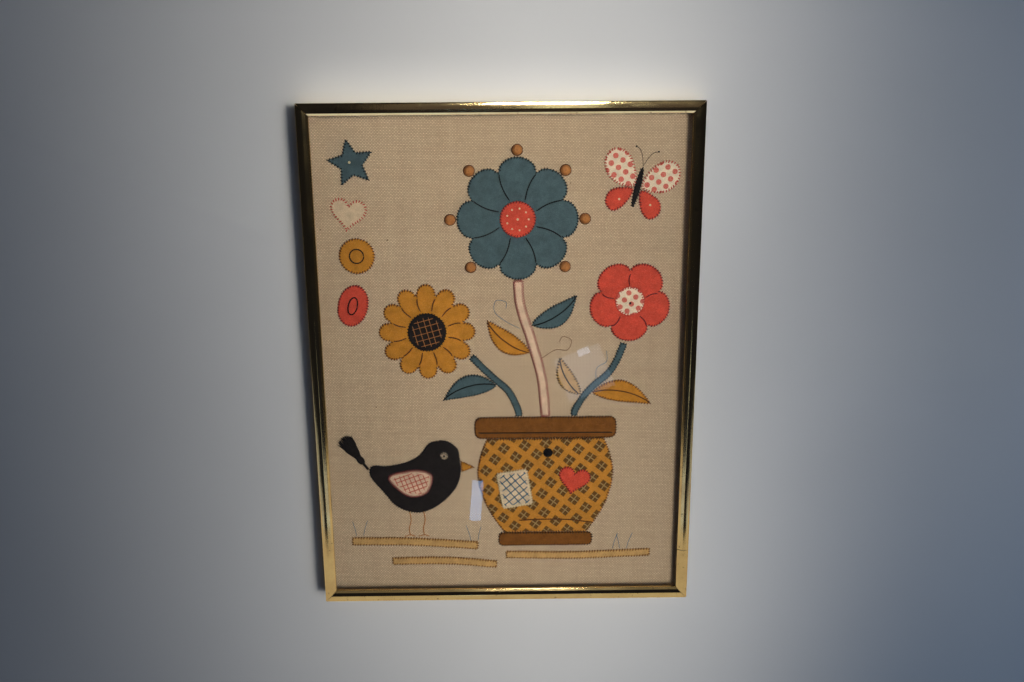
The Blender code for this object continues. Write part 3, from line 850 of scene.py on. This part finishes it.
def rounded(points, cut):
    """A closed section with each corner cut back by its own length and rounded off."""
    result = []
    n = len(points)
    for i, (corner, length) in enumerate(zip(points, cut)):
        corner = np.array(corner, float)
        if not length:
            result.append(corner)
            continue
        toward = [np.array(points[j], float) - corner for j in ((i - 1) % n, (i + 1) % n)]
        toward = [way / np.linalg.norm(way) for way in toward]
        start, end = (corner + way * length for way in toward)
        result.append(start + toward[0] * 0.4 * length)
        for t in np.linspace(0, 1, 5):
            result.append(start * (1 - t) ** 2 + corner * 2 * t * (1 - t) + end * t**2)
        result.append(end + toward[1] * 0.4 * length)
    return result


def moulding_section():
    """The section as (distance in, height): a crowned face, a flat facet and a slanted lip."""
    low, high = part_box("moulding_top")
    depth = (high.z - low.z) / MM
    crest, radius, facet, lip, sight, lip_under = 3.8, 10.0, 5.1, 7.6, 9.3, 13.4

    def face(inward):
        return depth - radius + math.sqrt(radius**2 - (inward - crest) ** 2)

    facet_end = face(facet) - (lip - facet) * math.tan(math.radians(21))
    lip_end = facet_end - (sight - lip) * math.tan(math.radians(40))
    corners = [
        ((0, 0), 0.25), ((7, 0), 0.2), ((7, 1.2), 0), ((1.5, 1.2), 0), ((1.5, lip_under), 0),
        ((sight, lip_under), 0.1), ((sight, lip_end), 0.22), ((lip, facet_end), 0.16),
        ((facet, face(facet)), 0.2), *[((w, face(w)), 0) for w in np.linspace(4.7, 0.5, 22)],
        ((0, face(0)), 0.32),
    ]
    return rounded([point for point, _ in corners], [cut for _, cut in corners])


MITRE_GAP = 0.28


def build_moulding(node, length, offset, turn):
    """A mitred length of the section, turned into its place in the frame."""
    section = moulding_section()
    bm = bmesh.new()
    ends = []
    for sign in (-1, 1):
        end = []
        for inward, z in section:
            x = sign * (length / 2 - inward - MITRE_GAP) * MM
            end.append(bm.verts.new((x, (offset - inward) * MM, z * MM)))
        ends.append(end)
    n = len(section)
    for i in range(n):
        j = (i + 1) % n
        bm.faces.new((ends[0][i], ends[0][j], ends[1][j], ends[1][i]))
    bm.faces.new(ends[0][::-1])
    bm.faces.new(ends[1])
    bmesh.ops.recalc_face_normals(bm, faces=bm.faces)
    bmesh.ops.rotate(bm, verts=bm.verts, matrix=Matrix.Rotation(math.radians(turn), 3, "Z"))
    mesh = bpy.data.meshes.new(node + "_section")
    bm.to_mesh(mesh)
    bm.free()
    mesh.shade_smooth()
    mesh.set_sharp_from_angle(angle=math.radians(28))
    obj = new_object(node + "_section", mesh, MATERIALS["gold_metal"])
    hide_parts(node)


WIDTH, HEIGHT = (OUTER_HIGH - OUTER_LOW)[:2]
for quarter, side in enumerate(("top", "left", "bottom", "right")):
    length, offset = (HEIGHT, WIDTH / 2) if quarter % 2 else (WIDTH, HEIGHT / 2)
    build_moulding(f"moulding_{side}", length, offset, 90 * quarter)

for node, material in (("glass_pane", "clear_glass"), ("backing_board", "fibreboard")):
    plain = frame["nodes"][node]
    plain.data.materials.clear()
    plain.data.materials.append(MATERIALS[material])

# ---- The linen


def build_linen():
    low, high = (np.array(c)[:2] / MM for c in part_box("linen_ground"))
    nx, ny = 190, 254
    xs, ys = np.linspace(low[0], high[0], nx + 1), np.linspace(low[1], high[1], ny + 1)
    gx, gy = np.meshgrid(xs, ys)
    gz = linen_height(gx, gy)
    edge = np.minimum.reduce([gx - low[0], high[0] - gx, gy - low[1], high[1] - gy])
    gz -= 0.45 * np.exp(-edge / 0.8)
    top = np.c_[gx.ravel(), gy.ravel(), gz.ravel()]
    index = np.arange((nx + 1) * (ny + 1)).reshape(ny + 1, nx + 1)
    faces = quads(index[:, :-1], index[:, 1:])
    rim = [*index[0, :-1], *index[:-1, -1], *index[-1, :0:-1], *index[:0:-1, 0]]
    rim = [int(i) for i in rim]
    count = len(top)
    lower = np.c_[top[rim][:, :2], np.full(len(rim), LINEN_BOTTOM)]
    n = len(rim)
    for i in range(n):
        j = (i + 1) % n
        faces.append([rim[j], rim[i], count + i, count + j])
    faces.append([count + i for i in reversed(range(n))])
    mesh = mesh_from("linen_cloth", np.vstack([top, lower]), faces)
    mesh.set_sharp_from_angle(angle=math.radians(60))
    obj = new_object("linen_cloth", mesh, MATERIALS["linen"])
    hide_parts("linen_ground")
    return obj


LINEN = build_linen()


def on_linen(p):
    return linen_height(p[:, 0], p[:, 1])


# ---- The felt pieces


def centre_of(node):
    low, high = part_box(node)
    return np.array([(low.x + high.x) / 2, (low.y + high.y) / 2]) / MM


def spoke(middle, degrees, start, end, bend):
    """A line out from a middle point, bowed sideways by bend."""
    d, n = heading(degrees)
    t = np.linspace(0, 1, 12)[:, None]
    return middle + d * (start + (end - start) * t) + n * 4 * bend * t * (1 - t)


def leaf_rib(node):
    """The midrib of a leaf, from its outline."""
    loop = resampled(cad_outline(node), 0.5)
    middle = loop.mean(0)
    _, _, axes = np.linalg.svd(loop - middle, full_matrices=False)
    along, across = ((loop - middle) @ axis for axis in axes)
    rib = []
    for s in np.linspace(along.min() + 0.8, along.max() - 0.8, 12):
        near = across[np.abs(along - s) < 1.2]
        rib.append(middle + axes[0] * s + axes[1] * (near.min() + near.max()) / 2)
    return np.array(rib)


# The lines sewn on each piece
LEAVES = ("leaf_main_left", "leaf_main_right", "leaf_left", "leaf_right", "leaf_inner")
lines = {leaf: [leaf_rib(leaf)] for leaf in LEAVES}
# Between the petals: the first line's angle, how many, where each starts and ends, and its bend
for node, first, count, *reach in (
    ("teal_bloom", -67.5, 8, 15.8, 37.5, 1.6),
    ("mustard_bloom", -15, 12, 17.5, 28.5, 0.8),
    ("coral_bloom", -54, 5, 13.5, 23.5, 1.2),
):
    turns = (first + 360 / count * i for i in range(count))
    lines[node] = [spoke(centre_of(node), turn, *reach) for turn in turns]
lines["small_disc"] = [ring(centre_of("small_disc"), 5.6, 5.6)]
lines["small_oval"] = [ring(centre_of("small_oval"), 3.6, 7.2, -16)]
POT_X = centre_of("pot_body")[0]
POT_LINE = ((-50, -140), (-16, -136.5), (18, -136.5), (40, -139.5))
lines["pot_body"] = [curved([(POT_X + x, y) for x, y in POT_LINE])[8:]]
rim_low, rim_high = (np.array(c)[:2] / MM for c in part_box("pot_rim"))
lines["pot_rim"] = [
    np.array([(rim_low[0] + 3, rim_low[1] + 5.2), (rim_high[0] - 3, rim_low[1] + 4.8)])
]

# Node, felt, rise of its edge, crown of its middle, and what it is sewn on, if not the linen
PIECES = (
    ("pot_body", "plaid", 0.95, 0.6),
    ("pot_rim", "brown", 1.1, 0.6),
    ("pot_foot", "brown", 1.0, 0.5),
    ("pot_square", "cream", 0.7, 0.2, "pot_body"),
    ("pot_heart", "coral", 0.8, 0.3, "pot_body"),
    ("stem_main", "blush", 0.9, 0.4),
    ("stem_left", "teal", 0.9, 0.3),
    ("stem_right", "teal", 0.9, 0.3),
    ("leaf_main_left", "mustard", 0.9, 0.5),
    ("leaf_main_right", "teal", 0.9, 0.5),
    ("leaf_left", "teal", 0.9, 0.5),
    ("leaf_right", "mustard", 0.9, 0.5),
    ("leaf_inner", "tan", 0.9, 0.5),
    ("teal_bloom", "teal", 1.0, 0.6),
    ("teal_bloom_centre", "coral", 0.8, 0.2, "teal_bloom"),
    ("mustard_bloom", "mustard", 1.0, 0.55),
    ("mustard_bloom_centre", "black", 0.8, 0.25, "mustard_bloom"),
    ("coral_bloom", "coral", 1.0, 0.6),
    ("coral_bloom_centre", "dotted", 0.8, 0.2, "coral_bloom"),
    ("bird_body", "black", 1.0, 0.6),
    ("bird_wing", "blush", 0.8, 0.3, "bird_body"),
    ("bird_beak", "mustard", 0.9, 0.3),
    ("bird_eye", "cream", 0.6, 0.15, "bird_body"),
    ("butterfly_body", "black", 1.1, 0.6),
    ("upper_wing_left", "dotted", 0.9, 0.4),
    ("upper_wing_right", "dotted", 0.9, 0.4),
    ("lower_wing_left", "coral", 0.9, 0.4),
    ("lower_wing_right", "coral", 0.9, 0.4),
    ("small_star", "teal", 0.9, 0.5),
    ("small_heart", "cream", 0.9, 0.5),
    ("small_disc", "mustard", 0.9, 0.5),
    ("small_oval", "coral", 0.9, 0.5),
    ("ground_bar_left", "tan", 0.8, 0.3),
    ("ground_bar_middle", "tan", 0.8, 0.3),
    ("ground_bar_right", "tan", 0.8, 0.3),
)
felts = {}
for node, felt, rise, crown, *parent in PIECES:
    under = felts[parent[0]] if parent else None
    felts[node] = Felt(node, under, rise, crown, lines.get(node, []))
    # Blush is a paler shade of the pink felt
    slot = felt.replace("blush", "pink") + "_felt"
    felts[node].build(MATERIALS[felt + "_felt"], slot)

# ---- Stitches round the pieces, and lines on them

EDGES = {
    "black": ["stem_left", "stem_right", "leaf_main_right", "leaf_left", "teal_bloom",
              "bird_body", "mustard_bloom_centre", "bird_eye", "butterfly_body", "small_star"],
    "rust": ["pot_body", "leaf_main_left", "leaf_right", "mustard_bloom", "bird_beak",
             "small_disc"],
    "brown": ["pot_rim", "pot_foot", "leaf_inner"],
    "tan": ["ground_bar_left", "ground_bar_middle", "ground_bar_right"],
    "crimson": ["pot_heart", "teal_bloom_centre", "coral_bloom", "lower_wing_left",
                "lower_wing_right", "small_oval"],
    "coral": ["coral_bloom_centre", "upper_wing_left", "upper_wing_right", "small_heart"],
    "cream": ["pot_square"],
}
for colour, nodes in EDGES.items():
    for node in nodes:
        edge_stitches(felts[node], THREADS[colour])
for node in ("stem_main", "bird_wing"):
    satin_edge(felts[node], THREADS["rose"])

LINE_COLOURS = {
    "teal_bloom": "black", "leaf_main_right": "black", "leaf_left": "black",
    "mustard_bloom": "rust", "leaf_main_left": "rust", "leaf_right": "rust", "small_disc": "brown",
    "pot_body": "rust", "pot_rim": "brown", "leaf_inner": "brown", "coral_bloom": "crimson",
    "small_oval": "black",
}
for node, colour in LINE_COLOURS.items():
    for line in lines[node]:
        outline_stitch(line, felts[node].top, THREADS[colour])

for node, colour, pitch, turn, margin, radius in (
    ("pot_square", "teal", 5.2, 40, 1.6, 0.40),
    ("bird_wing", "coral", 3.9, 20, 2.0, 0.32),
    ("mustard_bloom_centre", "orange", 5.0, 15, 2.4, 0.28),
):
    crosshatch(felts[node], THREADS[colour], pitch, turn, margin, radius)

middle, angles = centre_of("teal_bloom"), 2 * np.pi * np.arange(9) / 9
circle = np.c_[middle[0] + 8.6 * np.cos(angles), middle[1] + 8.6 * np.sin(angles)]
french_knots(circle, felts["teal_bloom_centre"].top, THREADS["cream"])
for place, node, colour, size in (
    ("teal_bloom", "teal_bloom_centre", "cream", 1.2),
    ("coral_bloom", "coral_bloom_centre", "black", 1.2),
    ("bird_eye", "bird_eye", "black", 1.3),
    ("small_star", "small_star", "cream", 1.3),
    ("lower_wing_left", "lower_wing_left", "cream", 1.1),
    ("lower_wing_right", "lower_wing_right", "cream", 1.1),
):
    french_knots([centre_of(place)], felts[node].top, THREADS[colour], size)


def sew(points, colour, radius, length=2.6, step=1.5, offset=0.1, steps=10):
    """A curved line sewn straight on the linen."""
    line = curved(points, steps)
    outline_stitch(line, on_linen, THREADS[colour], radius, length, step, offset)


# Legs and toes
for x in (-82.0, -70.0):
    leg = [(x, -127.0), (x + 1.2, -136), (x - 0.6, -144), (x + 0.4, -150.8)]
    sew(leg, "orange", 0.32, 3.6, 1.9, 0.26)
    for toe in (-5.0, 5.2):
        toe_line = [(x + 0.4, -149.2), (x + toe * 0.5, -150.4), (x + toe, -150.9)]
        sew(toe_line, "orange", 0.28, 2.4, 1.3, 0.26)
# Feelers
butterfly = centre_of("butterfly_body")
d, left = heading(90 - 14)
for n in (-left, left):
    tip = butterfly + d * 30 + n * 9
    sew([butterfly + d * 16.6, butterfly + d * 23 + n * 2.2, butterfly + d * 28 + n * 5.2, tip],
        "black", 0.2)
    french_knots([tip], on_linen, THREADS["black"], 0.85)
# Tendrils
for points, colour in (
    ([(13.5, 30), (2, 36), (-7, 44), (-6, 53), (2, 52), (2, 46)], "teal"),
    ([(31, 5), (42, 12), (52, 12), (55, 20), (48, 23), (45, 18)], "rust"),
    ([(76, -17), (76, -4), (84, 2), (84, 11)], "teal"),
):
    sew(points, colour, 0.2, step=1.45, steps=14)
# Blades of grass on the three bars, and the butterfly's flight
for x, foot, lean in (
    (92, -164.5, 4), (98, -164.5, -3), (104, -164.5, 5), (-128, -150.3, -3), (-122, -150.3, 4),
    (-30, -155.8, -4), (-24, -155.8, 3),
):
    tip = (x + lean, foot + 12 + abs(lean) * 0.6)
    sew([(x, foot), (x + lean * 0.3, foot + 6), tip], "teal", 0.22, 2.8, 1.6)
FLIGHT = curved([(86, 122), (82, 112), (88, 102), (98, 98)], 14)
running_stitch(FLIGHT, on_linen, THREADS["cream"])

# ---- Wound berries and the button


def wound_ball(node, thread, strands, radius, material):
    """A padded round covered by threads that run from its crown to its foot."""
    low, high = (np.array(c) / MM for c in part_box(node))
    middle, reach, rise = (low + high)[:2] / 2, (high - low)[0] / 2, (high - low)[2]
    floor = low[2] - 0.3

    def at(angle, out, z):
        """Points at this angle round the middle, and this far out from it."""
        return np.c_[middle[0] + out * np.cos(angle), middle[1] + out * np.sin(angle), z]

    t = np.linspace(0.04, 1.0, 8)
    out = np.sin(t * math.pi / 2) * (reach - radius * 0.8)
    z = floor + (rise + 0.1 - radius) * np.cos(t * math.pi / 2) + radius * 0.3
    turns = np.linspace(0, 2 * np.pi, strands, endpoint=False)
    paths = [at(angle + RNG.uniform(-0.04, 0.04) + 0.5 * t, out, z) for angle in turns]
    thread.add(np.array(paths), radius, taper=0.8)
    rings, spokes = 7, 24
    turns = 2 * math.pi * np.arange(spokes) / spokes
    verts = []
    for i in range(rings):
        lift = math.pi / 2 * i / (rings - 1)
        z = np.full(spokes, floor + (rise - radius) * math.sin(lift))
        verts.append(at(turns, (reach - radius) * math.cos(lift), z))
    index = np.arange(rings * spokes).reshape(rings, spokes)
    faces = [*quads(index, np.roll(index, -1, axis=1)), index[0, ::-1].tolist()]
    mesh = mesh_from(node + "_core", np.vstack(verts), faces)
    obj = new_object(node + "_core", mesh, MATERIALS[material])
    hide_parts(node)
    return obj


BERRY_NODES = [f"berry_{i}" for i in range(1, 8)]
BERRIES = [
    wound_ball(node, THREADS["orange"], 26, 0.36, "brown_felt")
    for node in BERRY_NODES
]
for node in BERRY_NODES:
    edge = ring(centre_of(node), 4.25, 4.25)
    outline_stitch(edge, on_linen, THREADS["rust"], 0.42, 2.6, 1.5, 0.1)
BUTTON = wound_ball("pot_button", THREADS["black"], 24, 0.42, "black_felt")

# ---- The tassel

TAIL = np.array([-115.6, -88.4])
T_ALONG, T_LEFT = heading(126)
TASSEL_MID = sum(c.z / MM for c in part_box("tail_tassel")) / 2
yarn = Thread("tassel_yarn", MATERIALS["black_felt"], "black_felt")


def tassel_point(along, across, up):
    """Points along the tassel's line, to its left and above its middle."""
    p = TAIL + np.outer(along, T_ALONG) + np.outer(across, T_LEFT)
    return np.c_[p, TASSEL_MID + up]


def build_tassel():
    s = np.linspace(0, 1, 16)
    # The skirt: loose strands that bulge out of the head and straggle at their tips
    paths = []
    for i in range(150):
        spread = RNG.uniform(-1, 1)
        layer = RNG.uniform(-1, 1)
        length = RNG.uniform(15.5, 21.5) * (1 - 0.12 * abs(spread))
        swell = math.sin(math.radians(20)) * length * spread
        wander = RNG.uniform(-1, 1)
        phase, rate = RNG.uniform(0, 6.3), RNG.uniform(4, 8)
        across = 2.2 * spread * (1 - 0.2 * s) + swell * s**0.8 * (1 - 0.25 * s)
        across += wander * 1.2 * s**2 + 0.28 * np.sin(phase + rate * s)
        up = 0.85 * layer * (1 - 0.35 * s) + 0.18 * np.cos(phase + rate * s) - 0.35 * s
        paths.append(tassel_point(13.2 + length * s, across, np.clip(up, -1.1, 1.15)))
    yarn.add(np.array(paths), 0.27, taper=0.6)
    # The head: strands laid over a small rounded core
    t = np.linspace(0, 1, 12)
    paths = []
    for i in range(40):
        angle = 2 * math.pi * i / 40
        girth = 0.45 + 0.55 * np.sin(np.clip(t * 1.15, 0, 1) * math.pi * 0.82 + 0.28)
        across = 2.75 * girth * math.cos(angle)
        up = 1.0 * girth * math.sin(angle)
        paths.append(tassel_point(5.6 + 8.2 * t, across, up))
    yarn.add(np.array(paths), 0.30)
    # The binding round the neck of the head
    turn = np.linspace(0, 2 * math.pi, 22)
    for along in (12.3, 12.85, 13.4, 13.9):
        lengthwise = np.full(22, along) + 0.2 * np.sin(turn)
        loop = tassel_point(lengthwise, 2.55 * np.cos(turn), 1.08 * np.sin(turn))
        yarn.add(loop[None], 0.30, side=[[*T_ALONG, 0.0]], taper=1.0)
    # The cord: three braided yarns from the tail into the head
    t = np.linspace(0, 1, 34)
    for k in range(3):
        phase = 2 * math.pi * k / 3
        across = 0.62 * np.sin(2 * math.pi * 2.0 * t + phase)
        up = 0.38 * np.sin(4 * math.pi * 2.0 * t + 2 * phase)
        yarn.add(tassel_point(-0.9 + 7.6 * t, across, up)[None], 0.52, sides=6)


build_tassel()
TASSEL = yarn.build()
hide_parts("tail_tassel")

SEWING = [thread.build() for thread in THREADS.values()]

# ---- The flat size and area of each piece of cloth are measured, and nothing more is done with them

SMALLEST = 0.010
for node, felt in felts.items():
    (width, length), area = felt.flat_size()
    if width < SMALLEST or area < 0.3 * width * length:
        continue

# ---- Floor, lights and camera


def build_floor():
    bpy.ops.mesh.primitive_plane_add(size=6)
    floor = bpy.context.object
    floor.name = "floor"
    tree = Tree("floor_paint")
    paint = tree.mottled(linear(194, 195, 197), tree.noise(3, 3, 0.5), 0.35, 0.65, 0.96, 1.03)
    floor.data.materials.append(tree.look(paint, 0.75, Specular_IOR_Level=0.2))


def add_area(name, place, aim, size, radiance, colour, mirrored=False, spread=180):
    """An area light of this radiance, that lights matt surfaces or else is only mirrored."""
    light = bpy.data.lights.new(name, "AREA")
    light.shape = "RECTANGLE"
    light.size, light.size_y = size
    light.energy, light.color = radiance * 4 * size[0] * size[1], colour
    light.spread = math.radians(spread)
    obj = bpy.data.objects.new(name, light)
    bpy.context.scene.collection.objects.link(obj)
    obj.location = place
    away = Vector(place) - Vector(aim)
    obj.rotation_euler = away.to_track_quat("Z", "Y").to_euler()
    obj.visible_camera = False
    obj.visible_diffuse, obj.visible_glossy = not mirrored, mirrored
    return obj


def light_only(light, sides):
    """The light falls on these mouldings alone."""
    gilded = bpy.data.collections.new(light.name + "_gilded")
    for side in sides:
        gilded.objects.link(bpy.data.objects[f"moulding_{side}_section"])
    light.light_linking.receiver_collection = gilded


def build_world():
    """A dim room, so that polished metal has something dark to mirror."""
    world = bpy.data.worlds.new("dim_room")
    bpy.context.scene.world = world
    world.use_nodes = True
    nodes, links = world.node_tree.nodes, world.node_tree.links
    place = nodes.new("ShaderNodeTexCoord")
    split = nodes.new("ShaderNodeSeparateXYZ")
    links.new(place.outputs["Generated"], split.inputs[0])
    ramp = nodes.new("ShaderNodeValToRGB")
    tones = ((0.0, (0.07, 0.06, 0.05, 1)), (0.5, (0.010, 0.011, 0.018, 1)))
    for element, (position, tone) in zip(ramp.color_ramp.elements, tones):
        element.position, element.color = position, tone
    links.new(split.outputs["Z"], ramp.inputs[0])
    background = nodes["Background"]
    links.new(ramp.outputs[0], background.inputs["Color"])
    background.inputs["Strength"].default_value = 1.0


def build_camera():
    camera = bpy.data.cameras.new("camera")
    camera.sensor_width = 36
    camera.lens = 28.295
    obj = bpy.data.objects.new("camera", camera)
    bpy.context.scene.collection.objects.link(obj)
    obj.location = (0.00249, 0.16046, 0.64786)
    obj.rotation_euler = tuple(math.radians(a) for a in (-12.389, -0.487, -0.479))
    camera.clip_start, camera.clip_end = 0.01, 50
    bpy.context.scene.camera = obj


build_floor()
build_world()
build_camera()
WARM, PALE, COOL = (1.0, 0.93, 0.81), (1.0, 0.95, 0.86), (0.62, 0.78, 1.0)
BLUE, GREY_CARD = (0.24, 0.54, 1.0), (0.62, 0.74, 1.0)
# Warm beams from the right, pools at the top and the foot, and a cool fill.
# Name, place, aim, size, radiance, colour and spread
for *light, spread in (
    ("key_light", (0.49, 0.06, 0.91), (0.0, 0.06, 0), (0.80, 0.20), 1.06, WARM, 36),
    ("side_light", (0.68, 0.02, 0.95), (0.24, 0.05, 0), (0.60, 0.10), 0.7, WARM, 44),
    ("top_light", (0.28, 0.25, 0.5), (-0.09, 0.25, 0), (0.2, 0.16), 1.0, WARM, 66),
    ("edge_light", (0.0, 0.22, 0.055), (0.0, 0.214, 0), (0.30, 0.012), 0.55, WARM, 70),
    ("foot_light", (0.26, -0.36, 0.5), (-0.08, -0.36, 0), (0.24, 0.16), 1.35, WARM, 82),
    ("fill_light", (0.75, -0.1, 1.1), (0.34, 0, 0), (1.2, 1.2), 0.76, (0.46, 0.68, 1.0), 180),
):
    add_area(*light, spread=spread)
# What the metal and the glass mirror: lamps at the head, cards at the foot, and far windows.
# Name, place, aim, size, radiance, colour, and the mouldings that alone mirror it, if any
for *light, sides in (
    ("lamp", (0.055, 0.42, 0.36), (0, 0.2, 0.02), (0.11, 0.11), 48, (0.92, 0.97, 1.0), ()),
    ("long_lamp", (0.106, 0.42, 0.8), (0.106, 0.42, 0), (0.096, 0.95), 1.25, (0.75, 0.9, 1.0),
     ("top",)),
    ("dim_ceiling", (0.08, 0.2, 0.95), (0.08, 0.2, 0), (0.65, 1.4), 0.065, (1.0, 0.86, 0.95),
     ("top",)),
    ("pale_card", (0, -0.24, 0.10), (0, 1, 0.10), (2.0, 0.20), 0.44, PALE,
     ("top", "left", "bottom", "right")),
    ("tall_strip", (0, -0.24, 0.525), (0, 1, 0.525), (0.09, 0.65), 0.75, GREY_CARD,
     ("left", "right")),
    ("low_wing_left", (-0.625, -0.24, 0.25), (-0.625, 1, 0.25), (0.75, 0.10), 0.58, GREY_CARD,
     ("left",)),
    ("high_wing_left", (-0.70, -0.24, 0.375), (-0.70, 1, 0.375), (0.60, 0.15), 0.40, GREY_CARD,
     ("left",)),
    ("low_wing_right", (0.625, -0.24, 0.25), (0.625, 1, 0.25), (0.75, 0.10), 0.58, GREY_CARD,
     ("right",)),
    ("high_wing_right", (0.70, -0.24, 0.375), (0.70, 1, 0.375), (0.60, 0.15), 0.40, GREY_CARD,
     ("right",)),
    ("dim_card", (0, 0.42, 0.5), (0, -0.2, 0.015), (1.2, 0.35), 0.11, PALE, ("bottom",)),
    ("low_window", (0, -0.9, 0.28), (0, 1, 0.28), (1.6, 0.16), 0.75, (0.26, 0.46, 1.0),
     ("top",)),
    ("far_window", (-0.0825, -0.716, 1.387), (-0.03, -0.09, 0.01), (0.03, 0.105), 3.2, BLUE, ()),
    ("wide_window", (0.208, -0.385, 1.457), (0.06, -0.01, 0.01), (0.13, 0.12), 0.75, COOL, ()),
    ("small_window", (0.205, -0.325, 1.45), (0.06, 0.01, 0.01), (0.032, 0.018), 2.6, COOL, ()),
):
    area = add_area(*light, mirrored=True)
    if sides:
        light_only(area, sides)
bpy.context.scene.view_settings.view_transform = "Standard"
